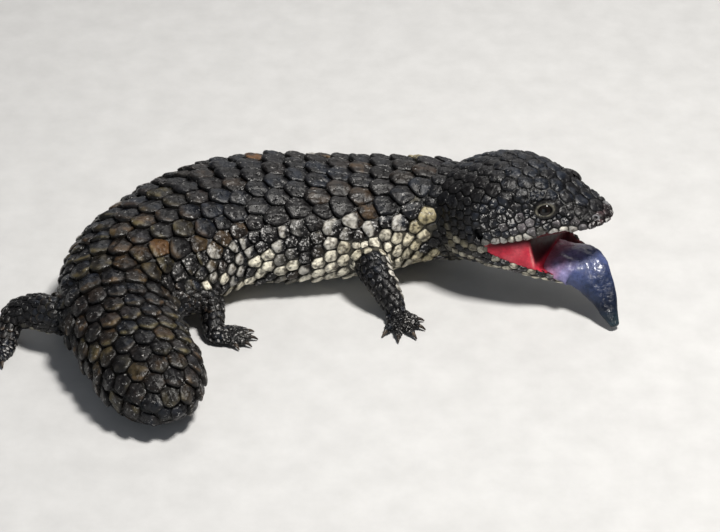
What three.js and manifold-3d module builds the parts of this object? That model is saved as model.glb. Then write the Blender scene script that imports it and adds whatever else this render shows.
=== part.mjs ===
// Shingleback, a blue-tongued skink (Tiliqua rugosa), as a life-size still model in its threat pose:
// trunk bent towards the right hind leg, head raised and turned, mouth open, tongue hanging out.
// Millimetres, +Z up, floor at z = 0, head towards +X, the animal's right side towards -Y.
import * as THREE from "three";
import { mergeVertices } from "three/addons/utils/BufferGeometryUtils.js";
import Module from "manifold-3d";

const wasm = await Module();
wasm.setup();

// Driving dimensions
const FRAME_SHIFT = { x: 26.5, y: 34 }; // moves the middle of the model's box to the origin
const GAP = 0.3; // clearance between pieces that touch
const NAPE = { x: 50, y: -6, heading: 155 }; // where the spine leaves the head, and its way backwards
const BENDS = [
  { from: 0, to: 38, turn: 25 },
  { from: 86, to: 145, turn: 46 },
  { from: 150, to: 222, turn: 69 },
];
const SPINE_START = -10; // the neck's front end, inside the back of the head
const SPINE_END = 275;
const NECK_ROUNDING = 6;
const TAIL_ROUNDING = 26; // length of the blunt tail tip's round end

// Trunk and tail: distance back from the nape, half width, top, belly and height of the widest line.
const TRUNK = [
  { s: -10, half: 20, top: 50, belly: 12, wide: 32 },
  { s: 0, half: 22, top: 51, belly: 8, wide: 30 },
  { s: 20, half: 26, top: 49, belly: 4, wide: 27 },
  { s: 45, half: 32.5, top: 46.5, belly: 0.5, wide: 23 },
  { s: 90, half: 38, top: 45.5, belly: -1, wide: 21 },
  { s: 135, half: 36.5, top: 44.5, belly: -1, wide: 20 },
  { s: 165, half: 32, top: 42, belly: -1, wide: 20 },
  { s: 190, half: 27, top: 39, belly: 0, wide: 19 },
  { s: 210, half: 25, top: 37, belly: 0, wide: 18 },
  { s: 240, half: 23.5, top: 33, belly: -0.5, wide: 16 },
  { s: 275, half: 20, top: 26.5, belly: -0.5, wide: 13 },
];
const TRUNK_PARTS = ["neck", "chest", "belly", "loins", "hips", "tail"];
const TRUNK_CUTS = [30, 84, 132, 172, 222]; // distances back from the nape
const TRUNK_SHAPE = { side: 0.92, top: 0.95, belly: 0.7 }; // below 1 squares a section off

// Horny scutes of the back, flanks and tail, in staggered rows; across and reach in degrees round the body.
const SCUTES = {
  first: 14,
  last: 262,
  pitch: 18.4,
  across: 32,
  reach: 112,
  clear: 8, // distance kept from a limb's side
  size: { length: 16.8, width: 0.92, lowest: 0.3, height: 1.7, keel: 2.4, sunk: 3 },
};
// Shields of the crown and cheeks.
const SHIELDS = {
  first: 8,
  last: 58,
  pitch: 15,
  across: 40,
  reach: 80,
  clear: 7, // distance kept from an eye's side
  size: { length: 13.5, width: 0.9, lowest: 0.2, height: 0.8, keel: 1.1, sunk: 2.5 },
};
const VARIATION = 0.12; // how much a scute's size differs from the next one's
const ROOT_TAPER = 0.85; // a scute's sunk root as a share of its face
// A scute's corners as shares of its length, width and height.
const SCUTE_CORNERS = [
  { back: -0.5, side: -0.36, high: 0 },
  { back: -0.5, side: 0.36, high: 0 },
  { back: 0.08, side: 0.5, high: 0.55 },
  { back: 0.5, side: 0.26, high: 1 },
  { back: 0.5, side: -0.26, high: 1 },
  { back: 0.08, side: -0.5, high: 0.55 },
];

// Head, in its own frame: x forward from the nape, z up from the upper lip's line.
const HEAD = { back: 7, length: 72.5, pitch: 14.5, lift: 28 };
const SKULL = [
  { x: -7, half: 20, top: 22, chin: -13, wide: 2 },
  { x: 0, half: 23.5, top: 25.5, chin: -17, wide: 2 },
  { x: 9, half: 26, top: 28, chin: -18, wide: 2 },
  { x: 19, half: 27, top: 29.5, chin: -18, wide: 3 },
  { x: 30, half: 25, top: 29, chin: -14, wide: 4 },
  { x: 40, half: 22, top: 26, chin: -12.5, wide: 5 },
  { x: 48, half: 19, top: 22, chin: -11, wide: 5 },
  { x: 57, half: 15, top: 14.6, chin: -9, wide: 4 },
  { x: 66, half: 11, top: 7.4, chin: -7, wide: 2.6 },
  { x: 72.5, half: 8, top: 3.4, chin: -5, wide: 1 },
];
const SKULL_SHAPE = 0.85;
const SNOUT_PEAK = { from: 42, to: 68, more: 0.6 }; // narrows the snout's section towards its top
const NAPE_ROUNDING = 6;
const SNOUT_ROUNDING = 8;
const MOUTH_CORNER = 21; // how far forward of the nape the lips part
const JAW = { hinge: { x: 15, z: -3 }, gape: 32, start: 12, length: 68, narrower: 0.95, lip: -2.5 };
const JAW_FLOOR = { at: [42, 0, 0.4], size: [24, 13, 2.2] };
const PALATE = { at: [54, 0, 0], size: [13, 9, 3] };
const LINING = { from: 16, to: 40.5, inset: 2, root: 2 };
const THROAT = { at: [47, 0, -11], size: [20, 17, 12] }; // hollow of the lining, open to the front
const EYE = { at: [47.8, 13.8, 12.2], radius: 4.4 };
const LIDS = { radius: 3.6, thick: 0.9, out: 3.2, squash: 0.85, yaw: 21, tilt: 22 };
const EAR = { at: [18, 27, 6], size: [2, 1.8, 3.2] };
const NOSTRIL = { at: [67.8, 6.9, 4.3], size: [1.5, 1.4, 1.3] };

// Tongue: points from its root to its tip, with half width, half thickness, its roll to the right in degrees
// and how far its right edge droops over the lip.
const TONGUE = [
  { x: 82, y: -22, z: 20.5, half: 8.5, thick: 2.8, roll: 0, droop: 0 },
  { x: 88, y: -26.5, z: 19.5, half: 10.5, thick: 3, roll: 4, droop: 0.5 },
  { x: 95.5, y: -33, z: 21.8, half: 12, thick: 3, roll: 8, droop: 2 },
  { x: 101.5, y: -37.5, z: 22, half: 11.5, thick: 3, roll: 14, droop: 4.5 },
  { x: 106.5, y: -43, z: 17.3, half: 8.6, thick: 2.8, roll: 25, droop: 1.6 },
  { x: 110.5, y: -48, z: 12, half: 6.2, thick: 2.5, roll: 24, droop: 0.5 },
  { x: 113, y: -53, z: 6.8, half: 4.2, thick: 1.9, roll: 12, droop: 0 },
  { x: 115.8, y: -58.2, z: 2.2, half: 2.1, thick: 1.1, roll: 0, droop: 0 },
];

// Limbs: points from inside the body to the middle of the foot, with the limb's radius at each; the joints
// are shares of the way along; the palm's heading and the first and last toes' are in degrees.
const LIMBS = [
  {
    names: ["right_upper_arm", "right_forearm", "right_hand"],
    path: [
      { x: 2, y: -20, z: 21, r: 9 },
      { x: 5, y: -31, z: 19, r: 8.5 },
      { x: 8.3, y: -37.7, z: 15.5, r: 7.4 },
      { x: 12, y: -42, z: 11, r: 6.6 },
      { x: 15.2, y: -47, z: 6.5, r: 5.4 },
      { x: 17.3, y: -51, z: 3.5, r: 4.4 },
    ],
    joints: [0.5, 0.82],
    palm: { heading: -70, length: 6.6, half: 6 },
    toes: { from: 4, to: -124, lengths: [9, 11, 13, 13.5, 11.5], radius: 2.4 },
  },
  {
    names: ["left_upper_arm", "left_forearm", "left_hand"],
    path: [
      { x: 4, y: 22, z: 21, r: 9 },
      { x: 7, y: 33, z: 19, r: 8.5 },
      { x: 10.3, y: 39.7, z: 15.5, r: 7.4 },
      { x: 14, y: 44.8, z: 11, r: 6.6 },
      { x: 17.6, y: 50, z: 6.5, r: 5.4 },
      { x: 20.4, y: 55, z: 3.5, r: 4.4 },
    ],
    joints: [0.5, 0.82],
    palm: { heading: 52, length: 7, half: 6.5 },
    toes: { from: -40, to: 136, lengths: [9, 10.5, 11, 10.5, 9.5], radius: 2.6 },
  },
  {
    names: ["right_thigh", "right_shin", "right_foot"],
    path: [
      { x: -103, y: -62, z: 18, r: 9.5 },
      { x: -89, y: -60, z: 16.5, r: 9 },
      { x: -77, y: -52.5, z: 15, r: 8 },
      { x: -69.5, y: -50, z: 12.5, r: 6.8 },
      { x: -66.5, y: -56, z: 8.5, r: 5.6 },
      { x: -66, y: -62.5, z: 5, r: 4.8 },
      { x: -63, y: -65, z: 3.4, r: 4.2 },
    ],
    joints: [0.47, 0.84],
    palm: { heading: -2, length: 9, half: 6 },
    toes: { from: 44, to: -50, lengths: [9, 12, 13, 12, 9], radius: 2.5 },
  },
  {
    names: ["left_thigh", "left_shin", "left_foot"],
    path: [
      { x: -122, y: -68, z: 18, r: 9.5 },
      { x: -136, y: -68, z: 16.5, r: 9 },
      { x: -147, y: -62.5, z: 14, r: 8 },
      { x: -154.5, y: -62, z: 11.5, r: 6.8 },
      { x: -157.5, y: -66.5, z: 8, r: 5.6 },
      { x: -158.5, y: -71.5, z: 5, r: 4.8 },
      { x: -160, y: -75, z: 3.4, r: 4.2 },
    ],
    joints: [0.47, 0.84],
    palm: { heading: -125, length: 9, half: 6 },
    toes: { from: -171, to: -79, lengths: [9, 12, 13, 12, 9], radius: 2.5 },
  },
];
const PALM = { forward: 1.5, half: 3.2, rise: 2.8 }; // middle ahead of the ankle, half height, height of the middle
const TOE_HEIGHT = 3;
const CLAW = { length: 2.6, radius: 1.2, tip: 0.8 };

const rad = THREE.MathUtils.degToRad;
const ROUND = 2 * Math.PI;
const UP = new THREE.Vector3(0, 0, 1);

// A key's smooth value between a list's stations, each station given the slope of its neighbours.
function along(stations, place, at, key) {
  const last = stations.length - 1;
  let i = 0;
  while (i < last - 1 && at > stations[i + 1][place]) i++;
  const slope = (k) => {
    const a = stations[Math.max(0, k - 1)];
    const b = stations[Math.min(last, k + 1)];
    return (b[key] - a[key]) / (b[place] - a[place]);
  };
  const [from, to] = [stations[i], stations[i + 1]];
  const run = to[place] - from[place];
  const t = THREE.MathUtils.clamp((at - from[place]) / run, 0, 1);
  const [t2, t3] = [t * t, t * t * t];
  return (
    from[key] * (2 * t3 - 3 * t2 + 1) +
    to[key] * (3 * t2 - 2 * t3) +
    run * (slope(i) * (t3 - 2 * t2 + t) + slope(i + 1) * (t3 - t2))
  );
}

// The value of a key of evenly counted points, at a share of the way along them.
function share(points, key, v) {
  const counted = points.map((p, i) => ({ i, value: p[key] }));
  return along(counted, "i", v * (points.length - 1), "value");
}

// The spine's plan: a point and a heading for each millimetre back from the nape.
function walkSpine() {
  const turned = (s) =>
    rad(BENDS.reduce((sum, b) => sum + b.turn * THREE.MathUtils.smoothstep(s, b.from, b.to), NAPE.heading));
  const points = [];
  const at = {
    x: NAPE.x + SPINE_START * Math.cos(turned(0)),
    y: NAPE.y + SPINE_START * Math.sin(turned(0)),
  };
  for (let s = SPINE_START; s <= SPINE_END + 1; s++) {
    points.push({ ...at, heading: turned(s) });
    at.x += Math.cos(turned(s + 0.5));
    at.y += Math.sin(turned(s + 0.5));
  }
  return points;
}
const spine = walkSpine();

function spineAt(s) {
  const i = THREE.MathUtils.clamp(Math.floor(s - SPINE_START), 0, spine.length - 2);
  const [a, b] = [spine[i], spine[i + 1]];
  const t = s - SPINE_START - i;
  return {
    x: a.x + (b.x - a.x) * t,
    y: a.y + (b.y - a.y) * t,
    heading: a.heading + (b.heading - a.heading) * t,
  };
}

function nearestOnSpine(point) {
  const away = spine.map((p) => Math.hypot(p.x - point.x, p.y - point.y));
  return SPINE_START + away.indexOf(Math.min(...away));
}

const power = (value, exponent) => Math.sign(value) * Math.abs(value) ** exponent;

// How much a round end shrinks a section: 1 away from the end, 0 at the very tip.
function rounding(left, reach) {
  if (left >= reach) return 1;
  const t = 1 - Math.max(left, 0) / reach;
  return Math.sqrt(Math.max(0, 1 - t * t));
}

// Draws rows together towards both ends of a loft, where it rounds off.
const eased = (v, strength) => v - (strength * Math.sin(ROUND * v)) / ROUND;

// A fixed number between -1 and 1 for each count, in no visible order.
function scatter(count) {
  const x = Math.sin(count * 127.1) * 43758.5;
  return 2 * (x - Math.floor(x)) - 1;
}

// A three.js geometry as a manifold, turned face out.
function solid(geometry) {
  geometry.deleteAttribute("normal");
  geometry.deleteAttribute("uv");
  const merged = mergeVertices(geometry, 1e-4);
  const vertProperties = new Float32Array(merged.attributes.position.array);
  const triVerts = new Uint32Array(merged.index.array);
  const made = new wasm.Manifold(new wasm.Mesh({ numProp: 3, vertProperties, triVerts }));
  if (made.volume() > 0) return made;
  triVerts.reverse();
  return new wasm.Manifold(new wasm.Mesh({ numProp: 3, vertProperties, triVerts }));
}

// A closed solid from a sphere's grid: place(u, v) gives each point, u round the section, v from end to end.
function loft(around, rings, place) {
  const geometry = new THREE.SphereGeometry(1, around, rings);
  const position = geometry.attributes.position;
  for (let i = 0; i < position.count; i++) {
    const column = i % (around + 1);
    const row = Math.floor(i / (around + 1));
    const p = place((column % around) / around, row / rings);
    position.setXYZ(i, p.x, p.y, p.z);
  }
  return solid(geometry);
}

function curveThrough(points) {
  return new THREE.CatmullRomCurve3(points.map((p) => new THREE.Vector3(p.x, p.y, p.z)));
}

// A loft along a curve through points; section(share of the way) gives its half width, half thickness,
// roll, and how far its right edge droops.
function tube(points, around, rings, section) {
  const curve = curveThrough(points);
  const length = curve.getLength();
  return loft(around, rings, (u, v) => {
    const w = eased(v, 0.6);
    const at = curve.getPoint(w);
    const ahead = curve.getTangent(w);
    const { half, thick, roll = 0, droop = 0 } = section(w);
    const side = new THREE.Vector3().crossVectors(UP, ahead).normalize().applyAxisAngle(ahead, rad(roll));
    const over = new THREE.Vector3().crossVectors(ahead, side);
    const end = Math.min(rounding(w * length, thick), rounding((1 - w) * length, thick));
    const out = Math.sin(u * ROUND) * end;
    at.addScaledVector(side, out * half);
    return at.addScaledVector(over, Math.cos(u * ROUND) * thick * end - droop * Math.min(0, out) ** 2);
  });
}

// An ellipsoid with its poles up and down, on the left (side 1) or right (side -1), turned by a heading.
function ellipsoid(at, size, around, rings, side = 1, heading = 0) {
  const geometry = new THREE.SphereGeometry(1, around, rings);
  geometry.rotateX(Math.PI / 2);
  geometry.scale(...size);
  geometry.rotateZ(rad(heading));
  geometry.translate(at[0], at[1] * side, at[2]);
  return solid(geometry);
}

function box(size, matrix) {
  return solid(new THREE.BoxGeometry(...size).applyMatrix4(matrix));
}

const FLOOR = box([600, 600, 20], new THREE.Matrix4().makeTranslation(0, 0, -10));

// The largest closed surface of a manifold.
function largest(made) {
  return made.decompose().reduce((a, b) => (b.volume() > a.volume() ? b : a));
}

// The parts of a long solid between thin plates, in order of place(middle of the part).
function parted(made, plates, place) {
  const pieces = plates.reduce((rest, plate) => rest.subtract(plate), made).decompose();
  const placed = pieces.map((piece) => {
    const { min, max } = piece.boundingBox();
    const middle = new THREE.Vector3(...min).add(new THREE.Vector3(...max)).multiplyScalar(0.5);
    return { piece, place: place(middle), volume: piece.volume() };
  });
  placed.sort((a, b) => b.volume - a.volume);
  const parts = placed.slice(0, plates.length + 1);
  return parts.sort((a, b) => a.place - b.place).map((p) => p.piece);
}

// A scute on a surface: at(back, side, high) is the point that far from its middle, above or below the skin.
function scute(at, size, across, count) {
  const length = size.length * (1 + VARIATION * scatter(count));
  const width = size.width * across * (1 + VARIATION * 0.5 * scatter(count + 0.5));
  const taller = 1 + 2 * VARIATION * scatter(count + 0.25);
  return loft(SCUTE_CORNERS.length, 3, (u, v) => {
    if (v === 0) return at(length * 0.2, 0, size.keel * taller);
    if (v === 1) return at(0, 0, -size.sunk * 1.2);
    const corner = SCUTE_CORNERS[Math.round(u * SCUTE_CORNERS.length)];
    const root = v > 0.5;
    const spread = root ? ROOT_TAPER : 1;
    const high = root ? -size.sunk : size.lowest + corner.high * (size.height * taller - size.lowest);
    return at(corner.back * length * spread, corner.side * width * spread, high);
  });
}

// Staggered rows of scutes: each place is a distance along the surface and a turn round it, in radians.
function staggered({ first, last, pitch, across, reach }) {
  const places = [];
  for (let row = 0; first + row * pitch <= last; row++) {
    const inset = row % 2 ? across / 2 : 0;
    for (let turn = inset - reach; turn <= reach - inset; turn += across) {
      places.push({ distance: first + row * pitch, turn: rad(turn), count: places.length + 1 });
    }
  }
  return places;
}

// A point of the trunk's skin: s back from the nape, turn from the back's midline towards the animal's right.
function trunkPoint(s, turn, grow = 0) {
  const get = (key) => along(TRUNK, "s", s, key);
  const end = Math.min(rounding(SPINE_END - s, TAIL_ROUNDING), rounding(s - SPINE_START, NECK_ROUNDING));
  const wide = get("wide");
  const out = power(Math.sin(turn), TRUNK_SHAPE.side) * (get("half") * end + grow);
  const up = Math.cos(turn);
  const reach = up > 0 ? get("top") - wide : wide - get("belly");
  const z = wide + power(up, up > 0 ? TRUNK_SHAPE.top : TRUNK_SHAPE.belly) * (reach * end + grow);
  const at = spineAt(s);
  return new THREE.Vector3(at.x - Math.sin(at.heading) * out, at.y + Math.cos(at.heading) * out, Math.max(z, 0));
}

function trunkSolid(grow) {
  return loft(22, 26, (u, v) => {
    const s = SPINE_START + eased(v, 0.5) * (SPINE_END - SPINE_START);
    return trunkPoint(s, u * ROUND, v > 0 && v < 1 ? grow : 0);
  });
}

// Whether a point is near enough to a limb's root for a scute there to run into it.
function nearLimb(point) {
  const steps = [...Array(13).keys()].map((i) => i / 24);
  return LIMBS.some(({ path }) => {
    const curve = curveThrough(path);
    return steps.some((v) => curve.getPoint(v).distanceTo(point) < share(path, "r", v) + SCUTES.clear);
  });
}

function trunkParts() {
  let trunk = trunkSolid(0);
  for (const { distance, turn, count } of staggered(SCUTES)) {
    if (nearLimb(trunkPoint(distance, turn))) continue;
    const at = (back, side, high) => trunkPoint(distance + back, turn + side, high);
    trunk = trunk.add(scute(at, SCUTES.size, rad(SCUTES.across), count));
  }
  const plates = TRUNK_CUTS.map((s) => {
    const at = spineAt(s);
    const turn = new THREE.Matrix4().makeRotationZ(at.heading).setPosition(at.x, at.y, 0);
    return box([GAP, 2 * along(TRUNK, "s", s, "half") + 16, 160], turn);
  });
  const head = skullBlock(GAP).add(headShields(GAP)).transform(headFrame.elements);
  return parted(largest(trunk.subtract(head)), plates, nearestOnSpine);
}

// The head's frame: x forward along the snout, y to the animal's left, z up.
const headFrame = new THREE.Matrix4().makeRotationZ(rad(NAPE.heading - 180));
headFrame.multiply(new THREE.Matrix4().makeRotationY(rad(-HEAD.pitch)));
headFrame.setPosition(NAPE.x, NAPE.y, HEAD.lift);

// A point of the closed head's skin, x forward of the nape, turn from the crown towards the animal's left.
function skullPoint(x, turn, grow = 0) {
  const get = (key) => along(SKULL, "x", x, key);
  const end = Math.min(rounding(HEAD.length - x, SNOUT_ROUNDING), rounding(x + HEAD.back, NAPE_ROUNDING));
  const swell = end > 0 ? grow : 0;
  const wide = get("wide");
  const up = Math.cos(turn);
  const reach = up > 0 ? get("top") - wide : wide - get("chin");
  const peak = up > 0 ? SNOUT_PEAK.more * THREE.MathUtils.smoothstep(x, SNOUT_PEAK.from, SNOUT_PEAK.to) : 0;
  return new THREE.Vector3(
    x + grow * Math.sign(x - HEAD.length / 2) * (1 - end),
    power(Math.sin(turn), SKULL_SHAPE + peak) * (get("half") * end + swell),
    wide + power(up, SKULL_SHAPE) * (reach * end + swell),
  );
}

// The skull with the rear jowls and throat, without the lower jaw, in the head's frame.
function skullBlock(grow) {
  const whole = loft(22, 16, (u, v) => {
    return skullPoint(eased(v, 0.5) * (HEAD.length + HEAD.back) - HEAD.back, u * ROUND, grow);
  });
  const mouth = new THREE.Matrix4().makeTranslation(MOUTH_CORNER + grow + 50, 0, -20 - grow);
  return largest(whole.subtract(box([100, 100, 40], mouth)));
}

// The shields of the crown and cheeks, apart from the skull.
function headShields(grow) {
  const wider = 1 + (2.2 * grow) / SHIELDS.size.length;
  const eyes = [1, -1].map((side) => new THREE.Vector3(EYE.at[0], EYE.at[1] * side, EYE.at[2]));
  let shields = box([1, 1, 1], new THREE.Matrix4().makeTranslation(20, 0, 10));
  for (const { distance, turn, count } of staggered(SHIELDS)) {
    const middle = skullPoint(distance, turn);
    if (eyes.some((eye) => eye.distanceTo(middle) < EYE.radius + SHIELDS.clear)) continue;
    const at = (back, side, high) => skullPoint(distance - back * wider, turn + side * wider, high + grow);
    shields = shields.add(scute(at, SHIELDS.size, rad(SHIELDS.across), count));
  }
  return shields;
}

// The lower jaw swung open about its hinge, in the head's frame.
function jawBlock(grow) {
  const swing = new THREE.Matrix4().makeTranslation(JAW.hinge.x, 0, JAW.hinge.z);
  swing.multiply(new THREE.Matrix4().makeRotationY(rad(JAW.gape)));
  swing.multiply(new THREE.Matrix4().makeTranslation(-JAW.hinge.x, 0, -JAW.hinge.z));
  const closed = loft(18, 12, (u, v) => {
    const x = JAW.start + eased(v, 0.5) * (JAW.length - JAW.start);
    const end = Math.min(rounding(JAW.length - x, SNOUT_ROUNDING), rounding(x - JAW.start, 5));
    const swell = end > 0 ? grow : 0;
    const up = Math.cos(u * ROUND);
    const drop = JAW.lip - along(SKULL, "x", x, "chin");
    return new THREE.Vector3(
      x,
      power(Math.sin(u * ROUND), SKULL_SHAPE) * (along(SKULL, "x", x, "half") * JAW.narrower * end + swell),
      JAW.lip + power(up, 0.8) * ((up > 0 ? -JAW.lip : drop) * end + swell),
    );
  });
  const hollowed = grow > 0 ? closed : closed.subtract(ellipsoid(JAW_FLOOR.at, JAW_FLOOR.size, 14, 6));
  return hollowed.transform(swing.elements);
}

// The red membrane at the corners of the mouth and the throat between them, hollowed from the front.
function liningBlock() {
  const slope = Math.tan(rad(JAW.gape));
  const wedge = loft(16, 8, (u, v) => {
    const x = LINING.from + eased(v, 0.4) * (LINING.to - LINING.from);
    const end = Math.min(rounding(LINING.to - x, 2), rounding(x - LINING.from, 2));
    const floor = JAW.hinge.z - (x - JAW.hinge.x) * slope - LINING.root;
    const half = along(SKULL, "x", x, "half") - LINING.inset;
    return new THREE.Vector3(
      x,
      power(Math.sin(u * ROUND), 0.5) * half * end,
      floor / 2 + power(Math.cos(u * ROUND), 0.5) * (LINING.root - floor / 2) * end,
    );
  });
  const throat = ellipsoid(THROAT.at, THROAT.size, 12, 8);
  return largest(wedge.subtract(skullBlock(GAP)).subtract(jawBlock(GAP)).subtract(throat));
}

function eyeBall(side, grow) {
  const radius = EYE.radius + grow;
  return ellipsoid(EYE.at, [radius, radius, radius], 12, 8, side);
}

// The ring of both eyelids round an eye.
function lidRing(side) {
  const geometry = new THREE.TorusGeometry(LIDS.radius, LIDS.thick, 5, 12);
  geometry.scale(1, LIDS.squash, 1);
  geometry.translate(0, 0, LIDS.out);
  geometry.rotateX(-Math.PI / 2 + rad(LIDS.tilt));
  geometry.rotateZ(-rad(LIDS.yaw));
  geometry.translate(...EYE.at);
  geometry.scale(1, side, 1);
  return solid(geometry);
}

function upperHead() {
  let head = skullBlock(0).add(headShields(0));
  for (const side of [1, -1]) {
    head = head.add(lidRing(side));
    head = head.subtract(eyeBall(side, GAP));
    head = head.subtract(ellipsoid(EAR.at, EAR.size, 8, 6, side));
    head = head.subtract(ellipsoid(NOSTRIL.at, NOSTRIL.size, 6, 5, side));
  }
  return largest(head.subtract(ellipsoid(PALATE.at, PALATE.size, 12, 6)));
}

function headParts() {
  const parts = {
    head: upperHead(),
    lower_jaw: largest(jawBlock(0).subtract(skullBlock(GAP))),
    mouth_lining: liningBlock(),
    left_eye: eyeBall(1, 0),
    right_eye: eyeBall(-1, 0),
  };
  for (const name in parts) parts[name] = parts[name].transform(headFrame.elements);
  return parts;
}

function tongueSolid() {
  const section = (v) => ({
    half: share(TONGUE, "half", v),
    thick: share(TONGUE, "thick", v),
    roll: share(TONGUE, "roll", v),
    droop: share(TONGUE, "droop", v),
  });
  const jaw = jawBlock(GAP).transform(headFrame.elements);
  return largest(tube(TONGUE, 14, 14, section).subtract(jaw));
}

// One toe from the foot's middle to its tip on the floor, with its claw.
function toe(middle, heading, length, radius) {
  const way = new THREE.Vector3(Math.cos(rad(heading)), Math.sin(rad(heading)), 0);
  const point = (reach, z) => new THREE.Vector3(middle[0], middle[1], z).addScaledVector(way, reach);
  const digit = tube(
    [point(length * 0.25, TOE_HEIGHT), point(length * 0.6, TOE_HEIGHT), point(length, radius * 0.72)],
    6,
    4,
    (v) => ({ half: radius * (1.05 - 0.2 * v), thick: radius * (1 - 0.2 * v) }),
  );
  const claw = tube(
    [point(length - radius, radius * 0.9), point(length + 0.6, radius * 0.8), point(length + CLAW.length, CLAW.tip)],
    4,
    3,
    (v) => ({ half: CLAW.radius * (0.9 - 0.65 * v), thick: CLAW.radius * (1 - 0.75 * v) }),
  );
  return digit.add(claw);
}

// A palm with its five toes, cut level by the floor.
function foot(ankle, palm, toes) {
  const way = [Math.cos(rad(palm.heading)), Math.sin(rad(palm.heading))];
  const middle = [ankle.x + way[0] * PALM.forward, ankle.y + way[1] * PALM.forward, PALM.rise];
  let made = ellipsoid(middle, [palm.length, palm.half, PALM.half], 12, 6, 1, 0);
  const turn = new THREE.Matrix4().makeTranslation(middle[0], middle[1], 0);
  turn.multiply(new THREE.Matrix4().makeRotationZ(rad(palm.heading)));
  turn.multiply(new THREE.Matrix4().makeTranslation(-middle[0], -middle[1], 0));
  made = made.transform(turn.elements);
  toes.lengths.forEach((length, i) => {
    const heading = toes.from + ((toes.to - toes.from) * i) / (toes.lengths.length - 1);
    made = made.add(toe(middle, heading, length, toes.radius));
  });
  return made.subtract(FLOOR);
}

// A limb outside the body, parted at its joints, with its foot.
function limbParts({ path, joints, palm, toes }, body) {
  const curve = curveThrough(path);
  const plates = joints.map((v) => {
    const way = new THREE.Quaternion().setFromUnitVectors(new THREE.Vector3(1, 0, 0), curve.getTangent(v));
    return box([GAP, 26, 26], new THREE.Matrix4().makeRotationFromQuaternion(way).setPosition(curve.getPoint(v)));
  });
  const steps = curve.getPoints(40);
  const place = (middle) => {
    const away = steps.map((step) => step.distanceTo(middle));
    return away.indexOf(Math.min(...away));
  };
  const radius = (v) => ({ half: share(path, "r", v), thick: share(path, "r", v) });
  const flesh = largest(tube(path, 12, 12, radius).subtract(body).subtract(FLOOR));
  const [upper, lower, end] = parted(flesh, plates, place);
  const sole = foot(path[path.length - 1], palm, toes).subtract(plates[1]);
  return [upper, lower, largest(end.add(largest(sole)).subtract(lower))];
}

const SKIN = { color: 0x2b2823, roughness: 0.75 };
const LOOKS = {
  tongue: { color: 0x3b4a9c, roughness: 0.35 },
  mouth_lining: { color: 0xb8404c, roughness: 0.4 },
  left_eye: { color: 0x0d0b0a, roughness: 0.1 },
  right_eye: { color: 0x0d0b0a, roughness: 0.1 },
};

function mesh(name, made) {
  const data = made.getMesh();
  const positions = new Float32Array(data.numVert * 3);
  for (let i = 0; i < data.numVert; i++) {
    const from = i * data.numProp;
    positions.set(data.vertProperties.subarray(from, from + 3), i * 3);
  }
  const geometry = new THREE.BufferGeometry();
  geometry.setAttribute("position", new THREE.BufferAttribute(positions, 3));
  geometry.setIndex(new THREE.BufferAttribute(new Uint32Array(data.triVerts), 1));
  geometry.computeVertexNormals();
  const shown = new THREE.Mesh(geometry, new THREE.MeshStandardMaterial(LOOKS[name] ?? SKIN));
  shown.name = name;
  return shown;
}

const lizard = new THREE.Group();
lizard.name = "shingleback";
lizard.position.set(FRAME_SHIFT.x, FRAME_SHIFT.y, 0);
for (const [name, made] of Object.entries(headParts())) lizard.add(mesh(name, made));
lizard.add(mesh("tongue", tongueSolid()));
trunkParts().forEach((made, i) => lizard.add(mesh(TRUNK_PARTS[i], made)));
const body = trunkSolid(GAP);
for (const limb of LIMBS) {
  limbParts(limb, body).forEach((made, i) => lizard.add(mesh(limb.names[i], made)));
}

export default lizard;
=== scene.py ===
# Looks of the shingleback: one skin under solid scales, with its eyes, lids, claws, tongue and mouth.
# Places and sizes are in millimetres, in the solids' own frame before its shift, until a mesh is made.
import math
from functools import partial

import bpy
import numpy as np
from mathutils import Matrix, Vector
from mathutils.bvhtree import BVHTree
from mathutils.kdtree import KDTree


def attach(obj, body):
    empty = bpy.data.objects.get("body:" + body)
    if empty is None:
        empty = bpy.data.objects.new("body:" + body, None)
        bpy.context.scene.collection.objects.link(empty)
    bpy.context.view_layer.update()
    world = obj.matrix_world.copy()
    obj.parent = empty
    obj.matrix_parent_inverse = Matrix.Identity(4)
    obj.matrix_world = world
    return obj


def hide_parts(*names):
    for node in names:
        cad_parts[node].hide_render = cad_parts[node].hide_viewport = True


MM = 0.001
SHIFT = np.array([26.5, 34.0, 0.0])
FLOOR_GAP = 0.05  # the least height over the floor
CIRCLE = 2 * np.pi

# The spine: where it leaves the head, its way backwards, and its bends
NAPE = {"x": 50.0, "y": -6.0, "heading": 155.0}
BENDS = [(0, 38, 25), (86, 145, 46), (150, 222, 69)]  # from, to, turn in degrees
SPINE_START = -10
SPINE_END = 275
NECK_ROUNDING = 6
TAIL_ROUNDING = 26

# Trunk and tail: distance back from the nape, half width, top, belly, height of the widest line
TRUNK = np.array([
    (-10, 20, 50, 12, 32),
    (0, 22, 51, 8, 30),
    (20, 26, 49, 4, 27),
    (45, 32.5, 46.5, 0.5, 23),
    (90, 38, 45.5, -1, 21),
    (135, 36.5, 44.5, -1, 20),
    (165, 32, 42, -1, 20),
    (190, 27, 39, 0, 19),
    (210, 25, 37, 0, 18),
    (240, 23.5, 33, -0.5, 16),
    (275, 20, 26.5, -0.5, 13),
])
TRUNK_SHAPE = {"side": 0.92, "top": 0.95, "belly": 0.7}
TRUNK_LOWEST = 0.6  # the least height of the trunk's surface

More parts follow.
